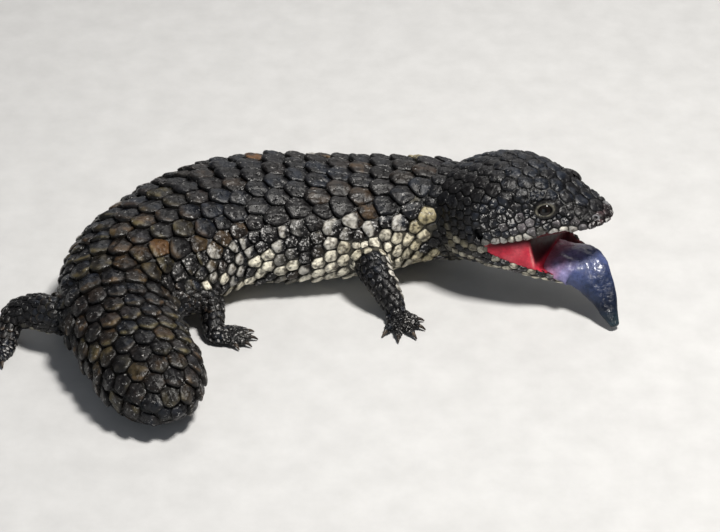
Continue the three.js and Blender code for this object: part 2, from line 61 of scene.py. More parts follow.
# Head, in its own frame: x forward of the nape, half width, top, chin, height of the widest line
HEAD = {"back": 7, "length": 72.5, "pitch": 14.5, "lift": 28}
SKULL = np.array([
    (-7, 20, 22, -13, 2),
    (0, 23.5, 25.5, -17, 2),
    (9, 26, 28, -18, 2),
    (19, 27, 29.5, -18, 3),
    (30, 25, 29, -14, 4),
    (40, 22, 26, -12.5, 5),
    (48, 19, 22, -11, 5),
    (57, 15, 14.6, -9, 4),
    (66, 11, 7.4, -7, 2.6),
    (72.5, 8, 3.4, -5, 1),
])
SKULL_SHAPE = 0.85
SNOUT_PEAK = {"from": 42, "to": 68, "more": 0.6}  # narrows the snout's section towards its top
NAPE_ROUNDING = 6
SNOUT_ROUNDING = 8
MOUTH_CORNER = 21
JAW = {
    "hinge": (15, 0, -3), "gape": 32, "start": 12, "length": 68, "rounding": 5,
    "narrower": 0.95, "rim": -1.5, "floor": 3.2,
}
PALATE = {"rise": 3.0, "fades": (60, 68)}
LINING = {"from": 16, "to": 40.5, "inset": 1.6, "root": 2}
THROAT = {"at": (48, 0, -11), "size": (22, 18, 13)}
EYE = {"at": (47.8, 13.8, 12.2), "radius": 4.4, "axis": (0.332, 0.866, 0.375), "opening": (3.1, 2.1)}
ORBIT = {"radius": 5.2, "depth": 2.4}  # the hollow of the skin round an eye
EAR = {"at": (18, 27, 6), "size": (2.2, 3.4), "depth": 3.2, "reach": 6}
NOSTRIL = {"at": (67.8, 6.8, 4.2), "axis": (0.4, 0.74, 0.54), "radius": 1.4}

# Tongue from the mouth's floor to its tip: place, half width, half thickness, roll in degrees,
# and how strongly its right edge droops
TONGUE = np.array([
    (70.5, -15.8, 22.6, 7, 2.2, 0, 0),
    (76.3, -18.7, 21.4, 9.5, 2.6, 0, 0.3),
    (82, -22, 20.3, 11, 2.8, 2, 0.6),
    (88, -26.5, 19.7, 12, 3, 5, 1.1),
    (95.5, -33, 21.8, 12, 3, 8, 2.2),
    (101.5, -37.5, 22, 11.5, 3, 14, 3.7),
    (106.5, -43, 17.3, 8.6, 2.8, 25, 1.8),
    (110.5, -48, 12, 6.2, 2.5, 24, 0.5),
    (113, -53, 6.8, 4.2, 1.9, 12, 0),
    (115.8, -58.2, 2.2, 2.1, 1.1, 0, 0),
])

# Limbs: points from inside the body to the foot, with the radius at each
HIND_TOES = (9, 12, 13, 12, 9)
LIMBS = {
    "right_arm": {
        "path": np.array([
            (2, -20, 21, 9), (5, -31, 19, 8.5), (8.3, -37.7, 15.5, 7.4),
            (12, -42, 11, 6.6), (15.2, -47, 6.5, 5.4), (17.3, -51, 3.5, 4.4),
        ]),
        "palm": (-70, 6.6, 6), "toes": (4, -124), "lengths": (9, 11, 13, 13.5, 11.5), "radius": 2.4,
    },
    "left_arm": {
        "path": np.array([
            (4, 22, 21, 9), (7, 33, 19, 8.5), (10.3, 39.7, 15.5, 7.4),
            (14, 44.8, 11, 6.6), (17.6, 50, 6.5, 5.4), (20.4, 55, 3.5, 4.4),
        ]),
        "palm": (52, 7, 6.5), "toes": (-40, 136), "lengths": (9, 10.5, 11, 10.5, 9.5), "radius": 2.6,
    },
    "right_leg": {
        "path": np.array([
            (-103, -62, 18, 9.5), (-89, -60, 16.5, 9), (-77, -52.5, 15, 8), (-69.5, -50, 12.5, 6.8),
            (-66.5, -56, 8.5, 5.6), (-66, -62.5, 5, 4.8), (-63, -65, 3.4, 4.2),
        ]),
        "palm": (-2, 9, 6), "toes": (44, -50), "lengths": HIND_TOES, "radius": 2.5,
    },
    "left_leg": {
        "path": np.array([
            (-122, -68, 18, 9.5), (-136, -68, 16.5, 9), (-147, -62.5, 14, 8), (-154.5, -62, 11.5, 6.8),
            (-157.5, -66.5, 8, 5.6), (-158.5, -71.5, 5, 4.8), (-160, -75, 3.4, 4.2),
        ]),
        "palm": (-125, 9, 6), "toes": (-171, -79), "lengths": HIND_TOES, "radius": 2.5,
    },
}
PALM = {"forward": 1.5, "half": 3.2, "rise": 2.8}
TOE_HEIGHT = 3
CLAW = {"length": 2.6, "radius": 1.2, "tip": 0.8}

# How deep the skin lies under the solids' surface
COAT = {"trunk": 0.9, "head": 0.6, "limb": 0.5, "toe": 0.35}
SKIN_VOXEL = 0.8
SKIN_SMOOTHING = 5

# Scale families: size across; heights of the front and rear rim and of the dome and keel between them;
# roughness of the face; share of overlap backwards; groove; spokes and rings of the mesh
FINE_RINGS = (0.2, 0.38, 0.54, 0.68, 0.8, 0.9, 0.965, 1.0)
FAMILY_SIZES = ("size", "front", "rear", "dome", "keel", "rugose", "overlap", "groove", "spokes", "rings")
FAMILIES = {name: dict(zip(FAMILY_SIZES, sizes)) for name, *sizes in (
    ("dorsal", 11.6, -0.5, 2.25, 0.75, 0.65, 0.55, 0.32, 0.55, 30, FINE_RINGS),
    ("flank", 7.0, -0.4, 1.5, 0.7, 0.3, 0.42, 0.22, 0.55, 22, (0.26, 0.48, 0.66, 0.82, 0.94, 1.0)),
    ("belly", 8.4, -0.4, 0.45, 0.3, 0.0, 0.06, 0.25, 0.3, 14, (0.4, 0.75, 0.94, 1.0)),
    ("crown", 7.8, 0.1, 0.75, 0.6, 0.0, 0.38, 0.04, 0.5, 30, FINE_RINGS),
    ("cheek", 4.8, 0.0, 0.55, 0.6, 0.0, 0.28, 0.06, 0.45, 18, (0.28, 0.54, 0.76, 0.92, 1.0)),
    ("lip", 4.4, 0.2, 0.35, 0.5, 0.0, 0.12, 0.0, 0.35, 18, (0.3, 0.6, 0.82, 0.94, 1.0)),
    ("lid", 2.4, 0.1, 0.25, 0.4, 0.0, 0.08, 0.0, 0.25, 12, (0.45, 0.8, 1.0)),
    ("limb", 4.3, -0.25, 0.65, 0.35, 0.15, 0.12, 0.28, 0.28, 14, (0.35, 0.68, 0.9, 1.0)),
    ("toe", 2.2, -0.15, 0.28, 0.2, 0.0, 0.04, 0.3, 0.14, 10, (0.5, 0.88, 1.0)),
)}
FIRST_TO_STAY = {"lid": 0, "lip": 1, "crown": 2, "dorsal": 3}  # where scales crowd, before any other
PINNED = ("lid", "lip")
CELL_SHARPNESS = 14  # how angular a scale's outline is
SCALE_VARIATION = 0.14  # how much one scale's height differs from the next one's
ROOT_DEPTH = 1.1  # how far a scale's root ring lies under the skin
ROOT_SHARE = 0.94
NEIGHBOURS = 14
PATCH = 0.0015  # half the width of a scale's patch on the chart
# How far the middles of scales keep from an eye and a nostril; for an ear, an oval's shape and its size
CLEAR = {"eye": 6.6, "nostril": 3.4, "ear": (1.3, 1.6, 2.6)}
# As shares of a scale's size: how near two may be sown, the widest gap, how near fillers may be,
# how far all are pushed apart; then how much of that way each of the rounds goes
SETTLING = {"crowded": 0.33, "gap": 0.68, "filler": 0.72, "spacing": 0.48, "push": 0.3, "rounds": 6}
# The oval of scales round each eye, and how far out from the eye's middle it lies
LID_SCALES = {"count": 14, "size": 2.5, "oval": (5.9, 5.0), "forward": 3.5}

# Zones of scales: from and to in degrees from the back's midline, scale size, family
TAIL_START = 200
TRUNK_ZONES = [
    (0, 40, 11.6, "dorsal"), (40, 62, 9.2, "dorsal"), (62, 116, 7.0, "flank"), (116, 180, 8.4, "belly"),
]
TAIL_ZONES = [(0, 100, 9.8, "dorsal"), (100, 180, 8.0, "belly")]
HEAD_ZONES = [(0, 54, 7.8, "crown"), (54, 160, 4.8, "cheek")]
JAW_ZONES = [(96, 180, 5.0, "cheek")]

# Linear colours of the animal
BLACK = np.array([0.007, 0.0065, 0.007])
BLUE_BLACK = np.array([0.009, 0.0115, 0.0175])
BROWN = np.array([0.05, 0.031, 0.016])
RUST = np.array([0.17, 0.075, 0.024])
OLIVE = np.array([0.13, 0.108, 0.052])
CREAM = np.array([0.86, 0.81, 0.66])
ASH = np.array([0.45, 0.45, 0.47])
PLUM = np.array([0.07, 0.036, 0.04])
# Pale speckles: partly the animal's own flecks, partly painted glints
SPECKLE_AND_GLINT = {"colour": (0.42, 0.41, 0.4), "reach": 0.2, "from": 0.66, "cover": 0.8}
SKIN_SHADE = 0.09  # the skin between the scales, as a share of their own colour


# Numbers


def smooth(low, high, value):
    t = np.clip((value - low) / (high - low), 0, 1)
    return t * t * (3 - 2 * t)


def mix(a, b, share):
    return a + (b - a) * np.asarray(share)[..., None]


def unit(vectors):
    return vectors / np.maximum(np.linalg.norm(vectors, axis=-1, keepdims=True), 1e-9)


def power(value, exponent):
    return np.sign(value) * np.abs(value) ** exponent


def weights(t):
    """The shares of both ends and of both slopes in a smooth curve, t of the way along it."""
    t2, t3 = t * t, t * t * t
    return 2 * t3 - 3 * t2 + 1, 3 * t2 - 2 * t3, t3 - 2 * t2 + t, t3 - t2


def along(stations, column, at):
    """A column's smooth value between a table's stations, each given the slope of its neighbours."""
    places, values = stations[:, 0], stations[:, column]
    slope = np.empty(len(values))
    slope[1:-1] = (values[2:] - values[:-2]) / (places[2:] - places[:-2])
    slope[0] = (values[1] - values[0]) / (places[1] - places[0])
    slope[-1] = (values[-1] - values[-2]) / (places[-1] - places[-2])
    at = np.asarray(at, float)
    i = np.clip(np.searchsorted(places, at) - 1, 0, len(places) - 2)
    run = places[i + 1] - places[i]
    a, b, c, d = weights(np.clip((at - places[i]) / run, 0, 1))
    return values[i] * a + values[i + 1] * b + run * (slope[i] * c + slope[i + 1] * d)


def heights(table, at):
    """The height of a section's widest line, and how far it reaches above and below it."""
    wide = along(table, 4, at)
    return wide, along(table, 2, at) - wide, wide - along(table, 3, at)


def arc_of(line):
    """How far along a line of points each of them lies."""
    return np.concatenate([[0], np.cumsum(np.linalg.norm(np.diff(line, axis=0), axis=1))])


def rounding(left, reach):
    """How much a round end shrinks a section: 1 away from the end, 0 at the very tip."""
    t = 1 - np.clip(left / reach, 0, 1)
    return np.sqrt(np.maximum(0, 1 - t * t))


def eased(v, strength):
    return v - strength * np.sin(CIRCLE * v) / CIRCLE


def noise(place, size, layer=0):
    """Smooth noise between -1 and 1 with blotches of about a size."""
    p = place / size + layer * 17.31
    cell = np.floor(p)
    f = p - cell
    f = f * f * (3 - 2 * f)
    total = 0
    for corner in np.ndindex(2, 2, 2):
        mixed = (cell + corner) @ np.array([127.1, 311.7, 74.7])
        weight = np.prod(np.where(corner, f, 1 - f), axis=-1)
        total = total + scattered(mixed) * weight
    return 2 * total - 1


def scattered(number):
    """An even spread of values between 0 and 1, one for each number."""
    return np.modf(np.abs(np.sin(number) * 43758.5453))[0]


def turn_about(axis, degrees):
    c, s = math.cos(math.radians(degrees)), math.sin(math.radians(degrees))
    return np.array({
        "y": [(c, 0, s), (0, 1, 0), (-s, 0, c)],
        "z": [(c, -s, 0), (s, c, 0), (0, 0, 1)],
    }[axis])


def way_to(degrees):
    """The level direction of a heading."""
    return np.array([math.cos(math.radians(degrees)), math.sin(math.radians(degrees))])


def mirrored(place, side):
    """A place of the head's left side, or the same on its right where the side is -1."""
    return np.array(place) * np.array([1, side, 1])


# The body's surfaces


def walk_spine():
    """Plan points of the spine and its heading, for each millimetre back from the nape."""
    def heading(s):
        return np.radians(sum((turn * smooth(start, end, s) for start, end, turn in BENDS), NAPE["heading"]))
    s = np.arange(SPINE_START, SPINE_END + 3.0)
    first = np.radians(NAPE["heading"])
    step = heading(s[:-1] + 0.5)
    x = NAPE["x"] + SPINE_START * math.cos(first) + np.concatenate([[0], np.cumsum(np.cos(step))])
    y = NAPE["y"] + SPINE_START * math.sin(first) + np.concatenate([[0], np.cumsum(np.sin(step))])
    return s, x, y, heading(s)


SPINE_S, SPINE_X, SPINE_Y, SPINE_HEADING = walk_spine()


def paired(at, turn):
    """Places along a surface and turns round it, as arrays of one shape."""
    return np.broadcast_arrays(np.asarray(at, float), np.asarray(turn, float))


def oval(table, at, turn, end, grow, side, top, belly):
    """How far out and how high a section's points lie; the last three say how full its curve is."""
    wide, above, below = heights(table, at)
    up = np.cos(turn)
    out = power(np.sin(turn), side) * np.maximum(along(table, 1, at) * end + grow, 0)
    tall = np.maximum(np.where(up > 0, above, below) * end + grow, 0)
    return out, wide + power(up, np.where(up > 0, top, belly)) * tall


def trunk_point(s, turn, grow=0.0):
    """Points of the trunk: s back from the nape, turn from the back's midline to the animal's right."""
    s, turn = paired(s, turn)
    end = np.minimum(rounding(SPINE_END - s, TAIL_ROUNDING), rounding(s - SPINE_START, NECK_ROUNDING))
    out, z = oval(TRUNK, s, turn, end, grow, **TRUNK_SHAPE)
    x, y, heading = (np.interp(s, SPINE_S, column) for column in (SPINE_X, SPINE_Y, SPINE_HEADING))
    place = x - np.sin(heading) * out, y + np.cos(heading) * out, np.maximum(z, TRUNK_LOWEST)
    return np.stack(place, -1)


HEAD_AXES = turn_about("z", NAPE["heading"] - 180) @ turn_about("y", -HEAD["pitch"])
HEAD_AT = np.array([NAPE["x"], NAPE["y"], HEAD["lift"]])
JAW_AXES = turn_about("y", JAW["gape"])
HINGE = np.array(JAW["hinge"], float)


def from_head(place):
    return place @ HEAD_AXES.T + HEAD_AT


def to_head(place):
    return (place - HEAD_AT) @ HEAD_AXES


def opened(place):
    """The closed jaw's points swung open, both in the head's frame."""
    return (place - HINGE) @ JAW_AXES.T + HINGE


def closed(place):
    return (place - HINGE) @ JAW_AXES + HINGE


def head_point(x, turn, grow=0.0):
    """The head without its lower jaw, in its own frame: turn runs from the crown to the animal's left.

    The mouth's roof is vaulted forward of the mouth's corner.
    """
    x, turn = paired(x, turn)
    end = np.minimum(rounding(HEAD["length"] - x, SNOUT_ROUNDING), rounding(x + HEAD["back"], NAPE_ROUNDING))
    peak = SNOUT_PEAK["more"] * smooth(SNOUT_PEAK["from"], SNOUT_PEAK["to"], x) * (np.cos(turn) > 0)
    y, z = oval(SKULL, x, turn, end, grow, SKULL_SHAPE + peak, SKULL_SHAPE, SKULL_SHAPE)
    fade = smooth(PALATE["fades"][1], PALATE["fades"][0], x)
    aside = np.abs(y) / np.maximum(along(SKULL, 1, x), 1)
    vault = PALATE["rise"] * fade * (1 - np.clip(aside, 0, 1) ** 2)
    return np.stack([x, y, np.where(x > MOUTH_CORNER, np.maximum(z, vault), z)], -1)


def jaw_point(x, turn, grow=0.0):
    """Points of the lower jaw before it swings open, with a hollow floor."""
    x, turn = paired(x, turn)
    end = np.minimum(rounding(JAW["length"] - x, SNOUT_ROUNDING), rounding(x - JAW["start"], JAW["rounding"]))
    up = np.cos(turn)
    side = power(np.sin(turn), SKULL_SHAPE)
    half = np.maximum(along(SKULL, 1, x) * JAW["narrower"] * end + grow, 0)
    drop = np.maximum((JAW["rim"] - along(SKULL, 3, x)) * end + grow, 0)
    hollow = JAW["floor"] * end * (1 - np.abs(side) ** 3)
    z = JAW["rim"] - np.where(up > 0, hollow, np.abs(up) ** 0.8 * drop)
    return np.stack([x, side * half, z], -1)


def curve(points, v):
    """Points at shares v of the way along the smooth curve that the solids' limbs follow."""
    ends = np.vstack([2 * points[0] - points[1], points, 2 * points[-1] - points[-2]])
    place = np.clip(v, 0, 1) * (len(points) - 1)
    i = np.minimum(place.astype(int), len(points) - 2)
    p0, p1, p2, p3 = (ends[i + k] for k in range(4))
    steps = p1 - p0, p2 - p1, p3 - p2
    d0, d1, d2 = (np.sqrt(np.linalg.norm(step, axis=-1, keepdims=True)) for step in steps)
    slope1 = ((p1 - p0) / d0 - (p2 - p0) / (d0 + d1) + (p2 - p1) / d1) * d1
    slope2 = ((p2 - p1) / d1 - (p3 - p1) / (d1 + d2) + (p3 - p2) / d2) * d1
    a, b, c, d = weights((place - i)[..., None])
    return p1 * a + p2 * b + slope1 * c + slope2 * d


def tube_point(points, half, thick, v, turn, grow=0.0, roll=(0, 0), droop=(0, 0)):
    """Points round a curve; the lists give its section's sizes, roll and droop at shares of the way."""
    v, turn = paired(v, turn)

    def listed(values):
        return along(np.stack([np.linspace(0, 1, len(values)), values], 1), 1, v)
    ahead = unit(curve(points, v + 0.005) - curve(points, v - 0.005))
    level = unit(np.cross([0, 0, 1], ahead))
    upright = np.cross(ahead, level)
    rolled = np.radians(listed(roll))[..., None]
    side = level * np.cos(rolled) + upright * np.sin(rolled)
    over = upright * np.cos(rolled) - level * np.sin(rolled)
    length = np.linalg.norm(np.diff(curve(points, np.linspace(0, 1, 60)), axis=0), axis=1).sum()
    tall = listed(thick)
    end = np.minimum(rounding(v * length, tall), rounding((1 - v) * length, tall))
    out = end * np.sin(turn)
    high = np.maximum(tall + grow, 0.2) * end * np.cos(turn) - listed(droop) * np.minimum(out, 0) ** 2
    across = np.maximum(listed(half) + grow, 0.2) * out
    return curve(points, v) + side * across[..., None] + over * high[..., None]


def limb_point(limb, v, turn, grow=0.0):
    path = limb["path"]
    return tube_point(path[:, :3], path[:, 3], path[:, 3], v, turn, grow)


def palm_of(limb):
    """The middle of a hand or foot, and the way it points."""
    ahead = np.append(way_to(limb["palm"][0]), 0)
    return limb["path"][-1, :3] * (1, 1, 0) + ahead * PALM["forward"] + (0, 0, PALM["rise"]), ahead


def toe_paths(limb):
    """Each toe's three points and its claw's, from the foot's middle outwards."""
    middle = palm_of(limb)[0][:2]
    first, last = limb["toes"]
    radius = limb["radius"]
    for i, reach in enumerate(limb["lengths"]):
        way = way_to(first + (last - first) * i / (len(limb["lengths"]) - 1))
        toe = (reach * 0.25, TOE_HEIGHT), (reach * 0.6, TOE_HEIGHT), (reach, radius * 0.72)
        end = reach + CLAW["length"], CLAW["tip"]
        claw = (reach - radius, radius * 0.9), (reach + 0.6, radius * 0.8), end
        yield [np.array([np.append(middle + way * out, z) for out, z in path]) for path in (toe, claw)]


def toe_point(limb, toe, v, turn, grow=0.0):
    half = limb["radius"] * np.array([1.05, 0.95, 0.85])
    return tube_point(toe, half, half, v, turn, grow)


# Meshes


def band(start, around):
    """Quads between the ring of vertices that begins at start and the next ring."""
    column = np.arange(around)
    after = (column + 1) % around
    return np.stack([start + column, start + after, start + around + after, start + around + column], 1)


def loft(around, rings, place):
    """A closed surface: place(u, v) gives points, u round the section, v from end to end."""
    u, v = np.meshgrid(np.arange(around) / around, np.arange(rings + 1) / rings)
    grid = place(u, v)
    verts = np.vstack([grid[0, :1], grid[1:-1].reshape(-1, 3), grid[-1, :1]])
    faces = [face for ring in range(rings - 2) for face in band(1 + ring * around, around).tolist()]
    last = len(verts) - 1
    start = last - around
    pairs = [(a, (a + 1) % around) for a in range(around)]
    faces += [[0, 1 + b, 1 + a] for a, b in pairs]
    faces += [[last, start + a, start + b] for a, b in pairs]
    return verts, faces


def ellipsoid(at, size):
    def place(u, v):
        up, round_ = np.pi * v, CIRCLE * u
        shape = np.stack([np.sin(up) * np.cos(round_), np.sin(up) * np.sin(round_), np.cos(up)], -1)
        return shape * np.array(size) + np.array(at)
    return loft(32, 20, place)


def joined(parts):
    verts, faces, start = [], [], 0
    for part_verts, part_faces in parts:
        verts.append(part_verts)
        faces += [[start + i for i in face] for face in part_faces]
        start += len(part_verts)
    return np.vstack(verts), faces


def add_object(name, data):
    made = bpy.data.objects.new(name, data)
    bpy.context.scene.collection.objects.link(made)
    return made


def make_object(name, verts, faces, material=None):
    """A mesh object from places in millimetres."""
    mesh = bpy.data.meshes.new(name)
    mesh.from_pydata(((verts + SHIFT) * MM).tolist(), [], faces)
    mesh.validate()
    mesh.shade_smooth()
    mesh.materials.append(material)
    return add_object(name, mesh)


def paint(shown, colours, speckle_and_glint=0.0):
    """Stores one linear colour for each vertex, painted light and shade included, with its share of pale
    speckles and painted glints as the alpha.
    """
    mesh = shown.data
    layer = mesh.color_attributes.new("Mark", "FLOAT_COLOR", "POINT")
    rgba = np.ones((len(mesh.vertices), 4), np.float32)
    rgba[:, :3] = colours
    rgba[:, 3] = speckle_and_glint
    layer.data.foreach_set("color", rgba.ravel())
    mesh.color_attributes.active_color = layer


def read_vertices(mesh, what):
    flat = np.empty(len(mesh.vertices) * 3)
    mesh.vertices.foreach_get(what, flat)
    return flat.reshape(-1, 3)


def vertices_of(mesh):
    return read_vertices(mesh, "co") / MM - SHIFT


def faces_of(mesh):
    return [list(face.vertices) for face in mesh.polygons]


def evaluated(shown):
    """The object's mesh with its modifiers applied, in their place."""
    graph = bpy.context.evaluated_depsgraph_get()
    made = bpy.data.meshes.new_from_object(shown.evaluated_get(graph))
    shown.modifiers.clear()
    shown.data = made
    return made


# Materials


def feed(tree, made, inputs):
    """Fills a node's inputs: a socket is linked, anything else is stored."""
    for key, value in inputs.items():
        if isinstance(value, bpy.types.NodeSocket):
            tree.links.new(value, made.inputs[key])
        else:
            made.inputs[key].default_value = value


def node(tree, kind, inputs, **settings):
    made = tree.nodes.new(kind)
    for key, value in settings.items():
        setattr(made, key, value)
    feed(tree, made, inputs)
    return made


def nodes_of(name):
    material = bpy.data.materials.new(name)
    material.use_nodes = True
    return material, material.node_tree, material.node_tree.nodes["Principled BSDF"]


def object_noise(tree, scale, detail, roughness=0.6):
    where = node(tree, "ShaderNodeTexCoord", {}).outputs["Object"]
    inputs = {"Vector": where, "Scale": scale, "Detail": detail, "Roughness": roughness}
    return node(tree, "ShaderNodeTexNoise", inputs).outputs["Fac"]


def ramp(tree, value, low, high, from_value=0.3, to_value=0.7):
    inputs = {"Value": value, "From Min": from_value, "From Max": to_value, "To Min": low, "To Max": high}
    return node(tree, "ShaderNodeMapRange", inputs).outputs["Result"]


def marks_and_painted_light_of(tree):
    return node(tree, "ShaderNodeAttribute", {}, attribute_name="Mark").outputs


def tinted(tree, value, low, high):
    """The stored marking with its painted light and shade, darkened and lightened by a noise."""
    inputs = {0: marks_and_painted_light_of(tree)["Color"], 1: ramp(tree, value, low, high)}
    return node(tree, "ShaderNodeVectorMath", inputs, operation="MULTIPLY").outputs[0]


def bump(tree, height, strength, distance, **under):
    inputs = {"Height": height, "Strength": strength, "Distance": distance, **under}
    return node(tree, "ShaderNodeBump", inputs).outputs["Normal"]


def hide_material():
    """Dry horn: mottled, finely pitted, with pale speckles, partly painted glints, where the marking asks for
    them.
    """
    material, tree, shader = nodes_of("ScalyHide")
    grain = object_noise(tree, 1100, 4)
    mottle = object_noise(tree, 330, 4)
    fleck = object_noise(tree, 700, 3, 0.7)
    alpha = marks_and_painted_light_of(tree)["Alpha"]
    # Pale specks, partly painted glints, where the stored alpha asks for them
    thick = node(tree, "ShaderNodeMath", {0: alpha, 1: SPECKLE_AND_GLINT["reach"]}, operation="MULTIPLY")
    level = node(tree, "ShaderNodeMath", {0: fleck, 1: thick.outputs[0]}, operation="ADD")
    speck_and_glint = ramp(tree, level.outputs[0], 0.0, SPECKLE_AND_GLINT["cover"], SPECKLE_AND_GLINT["from"], SPECKLE_AND_GLINT["from"] + 0.06)
    pale = node(tree, "ShaderNodeMix", {
        "Factor": speck_and_glint, 6: tinted(tree, mottle, 0.35, 1.35), 7: (*SPECKLE_AND_GLINT["colour"], 1),
    }, data_type="RGBA")
    coarse = bump(tree, mottle, 0.75, 0.0009)
    feed(tree, shader, {
        "Base Color": pale.outputs[2], "Roughness": ramp(tree, mottle, 0.2, 0.5),
        "Normal": bump(tree, grain, 0.5, 0.0003, Normal=coarse), "Specular IOR Level": 0.27,
    })
    return material


def wet_material(name, roughness, grain_size, relief, scatter, coat, shine):
    material, tree, shader = nodes_of(name)
    grain = object_noise(tree, grain_size, 3)
    feed(tree, shader, {
        "Base Color": tinted(tree, grain, 0.8, 1.2), "Normal": bump(tree, grain, relief, 0.0006),
        "Roughness": ramp(tree, grain, roughness - 0.08, roughness + 0.12), "Specular IOR Level": shine,
        "Subsurface Weight": scatter, "Subsurface Radius": (0.003, 0.0012, 0.0008),
        "Coat Weight": coat, "Coat Roughness": 0.12,
    })
    return material


def eye_material():
    material, tree, shader = nodes_of("WetEye")
    feed(tree, shader, {
        "Base Color": tinted(tree, object_noise(tree, 1500, 2), 0.7, 1.4), "Roughness": 0.12,
        "Specular IOR Level": 0.2, "Coat Weight": 0.3, "Coat Roughness": 0.03,
    })
    return material


def floor_material():
    material, tree, shader = nodes_of("PaleFloor")
    factor = ramp(tree, object_noise(tree, 60, 4), 0.5, 0.56)
    colour = node(tree, "ShaderNodeCombineColor", {"Red": factor, "Green": factor, "Blue": factor})
    feed(tree, shader, {"Base Color": colour.outputs[0], "Roughness": 0.8})
    return material


# Markings, with painted shade at the nape


def trunk_coordinates(place):
    """Distance back from the nape and turn from the back's midline of points near the trunk."""
    line = np.stack([SPINE_X, SPINE_Y], 1)
    nearest = np.empty(len(place), int)
    for start in range(0, len(place), 20000):
        block = place[start:start + 20000, None, :2] - line[None]
        nearest[start:start + 20000] = np.argmin((block ** 2).sum(-1), axis=1)
    s = SPINE_S[nearest]
    heading = SPINE_HEADING[nearest]
    away = place[:, :2] - line[nearest]
    side = -np.sin(heading) * away[:, 0] + np.cos(heading) * away[:, 1]
    wide, above, below = heights(TRUNK, s)
    high = place[:, 2] - wide
    return s, np.arctan2(side / along(TRUNK, 1, s), high / np.where(high > 0, above, below))


def back_and_round(place):
    """Distance back from the nape, and degrees from the back's midline to either side."""
    s, turn = trunk_coordinates(place)
    return s, np.degrees(np.abs(turn))


def spotted(place, share, size, layer):
    """1 inside spots that cover about a share of the surface, 0 between them."""
    covered = 0.5 + 0.5 * noise(place, size, layer)
    limit = np.clip(share, 0, 1)
    return smooth(-0.04, 0.04, limit - covered) * (limit > 0.01)


def trunk_mark_and_shade(place):
    """Dark back, cream and tan scales low on the flanks and on the neck, brown tints towards the tail, and
    painted shade at the nape under the back of the head.
    """
    s, round_ = back_and_round(place)
    neck = 1 - smooth(18, 50, s)
    hind = smooth(120, 160, s)
    tail = smooth(190, 215, s)
    cream = 0.08 + 0.22 * smooth(50, 75, round_) + 0.2 * smooth(74, 95, round_)
    cream = cream + 0.15 * smooth(112, 130, round_)
    cream = cream * (1 - 0.3 * hind) + neck * (0.42 * smooth(22, 48, round_) - 0.26 * smooth(80, 96, round_))
    cream = cream + 0.5 * np.exp(-((s - 54) / 16) ** 2) * smooth(62, 76, round_)
    cream = cream * (1 - 0.8 * tail) - 0.12 * (round_ < 40)
    ground = mix(BLACK, BLUE_BLACK, smooth(-0.5, 0.4, noise(place, 17, 3)))
    colour = mix(ground, BROWN, 0.5 * smooth(0.15, 0.8, noise(place, 9, 4)))
    tint = mix(BROWN * 1.3, OLIVE * 0.55, smooth(-0.3, 0.5, noise(place, 15, 6)))
    tint = mix(tint, RUST, 0.8 * smooth(0.5, 0.75, noise(place, 8, 10)) * (1 - 0.7 * tail))
    colour = mix(colour, tint, 0.7 * spotted(place, 0.24 + 0.1 * hind - 0.1 * neck, 6.3, 5))
    tan = mix(CREAM, OLIVE * 2.4, 0.5 + 0.2 * neck + 0.4 * noise(place, 9, 8) * (1 - 0.4 * neck))
    pale = mix(CREAM, tan, np.maximum(0.9 * neck, smooth(0.2, 0.7, noise(place, 10, 18))))
    pale = mix(pale, ASH * 0.7, 0.8 * smooth(84, 62, round_) * (1 - neck))
    pale = mix(pale, OLIVE * 2.4, 0.75 * smooth(88, 66, round_) * neck)
    colour = mix(colour, pale, spotted(place, cream, 4.1, 9))
    # Painted shade in the fold at the nape, under the overhang of the head
    return mix(colour, BLACK * 0.6, 0.85 * smooth(9, 4, s) * smooth(112, 96, round_))


def rear_pale_and_glint(place):
    """Which scales are pale on their rear half only, partly pale colour and partly painted glint: many of the
    flanks' dark ones.
    """
    s, round_ = back_and_round(place)
    flank = smooth(42, 60, round_) * smooth(128, 112, round_) * smooth(205, 170, s)
    on_trunk = (to_head(place)[:, 0] < -HEAD["back"]) * (limb_distance(place)[0] > 0)
    return spotted(place, 0.5 * flank * on_trunk, 4.3, 43)


def head_mark_and_shade(head, place):
    """Marking of the head, by its own frame's places, with painted shade at its back edge."""
    x, high = head[:, 0], head[:, 2]
    low = smooth(0.62, 0.3, high / along(SKULL, 2, x))
    colour = mix(BLACK * 1.2, BLUE_BLACK * 1.15, smooth(-0.6, 0.3, noise(place, 14, 3)))
    ash = spotted(place, (0.02 + 0.44 * low) * smooth(12, 34, x), 3.1, 11)
    colour = mix(colour, mix(ASH * 0.4, PLUM + ASH * 0.22, 0.5 + 0.5 * noise(place, 5, 19)), 0.8 * ash)
    lip = smooth(4.6, 3.6, high) * smooth(-1, 0, high) * smooth(16, 26, x) * smooth(64, 54, x)
    pale = mix(CREAM, ASH, 0.5 + 0.4 * noise(place, 3, 12))
    colour = mix(colour, pale, 0.9 * lip * spotted(place, 0.8, 3.3, 13))
    jowl = smooth(22, 6, x) * smooth(12, 2, high)
    tan = mix(OLIVE * 1.6, CREAM * 0.8, 0.5 + 0.5 * noise(place, 4, 14))
    colour = mix(colour, tan, 0.8 * jowl * spotted(place, 0.5, 4.0, 15))
    colour = mix(colour, PLUM, 0.8 * smooth(65, 70, x) * smooth(7, 3, high))
    # Painted shade at the back of the head, where it overhangs the nape
    colour = mix(colour, BLACK * 0.6, 0.75 * smooth(3, -3, x))
    chin = smooth(0.3, -0.6, high) * smooth(12, 20, x)
    pale = mix(CREAM, OLIVE, 0.35 + 0.3 * noise(place, 7, 16))
    return mix(colour, pale, chin * spotted(place, 0.55, 4.4, 17))


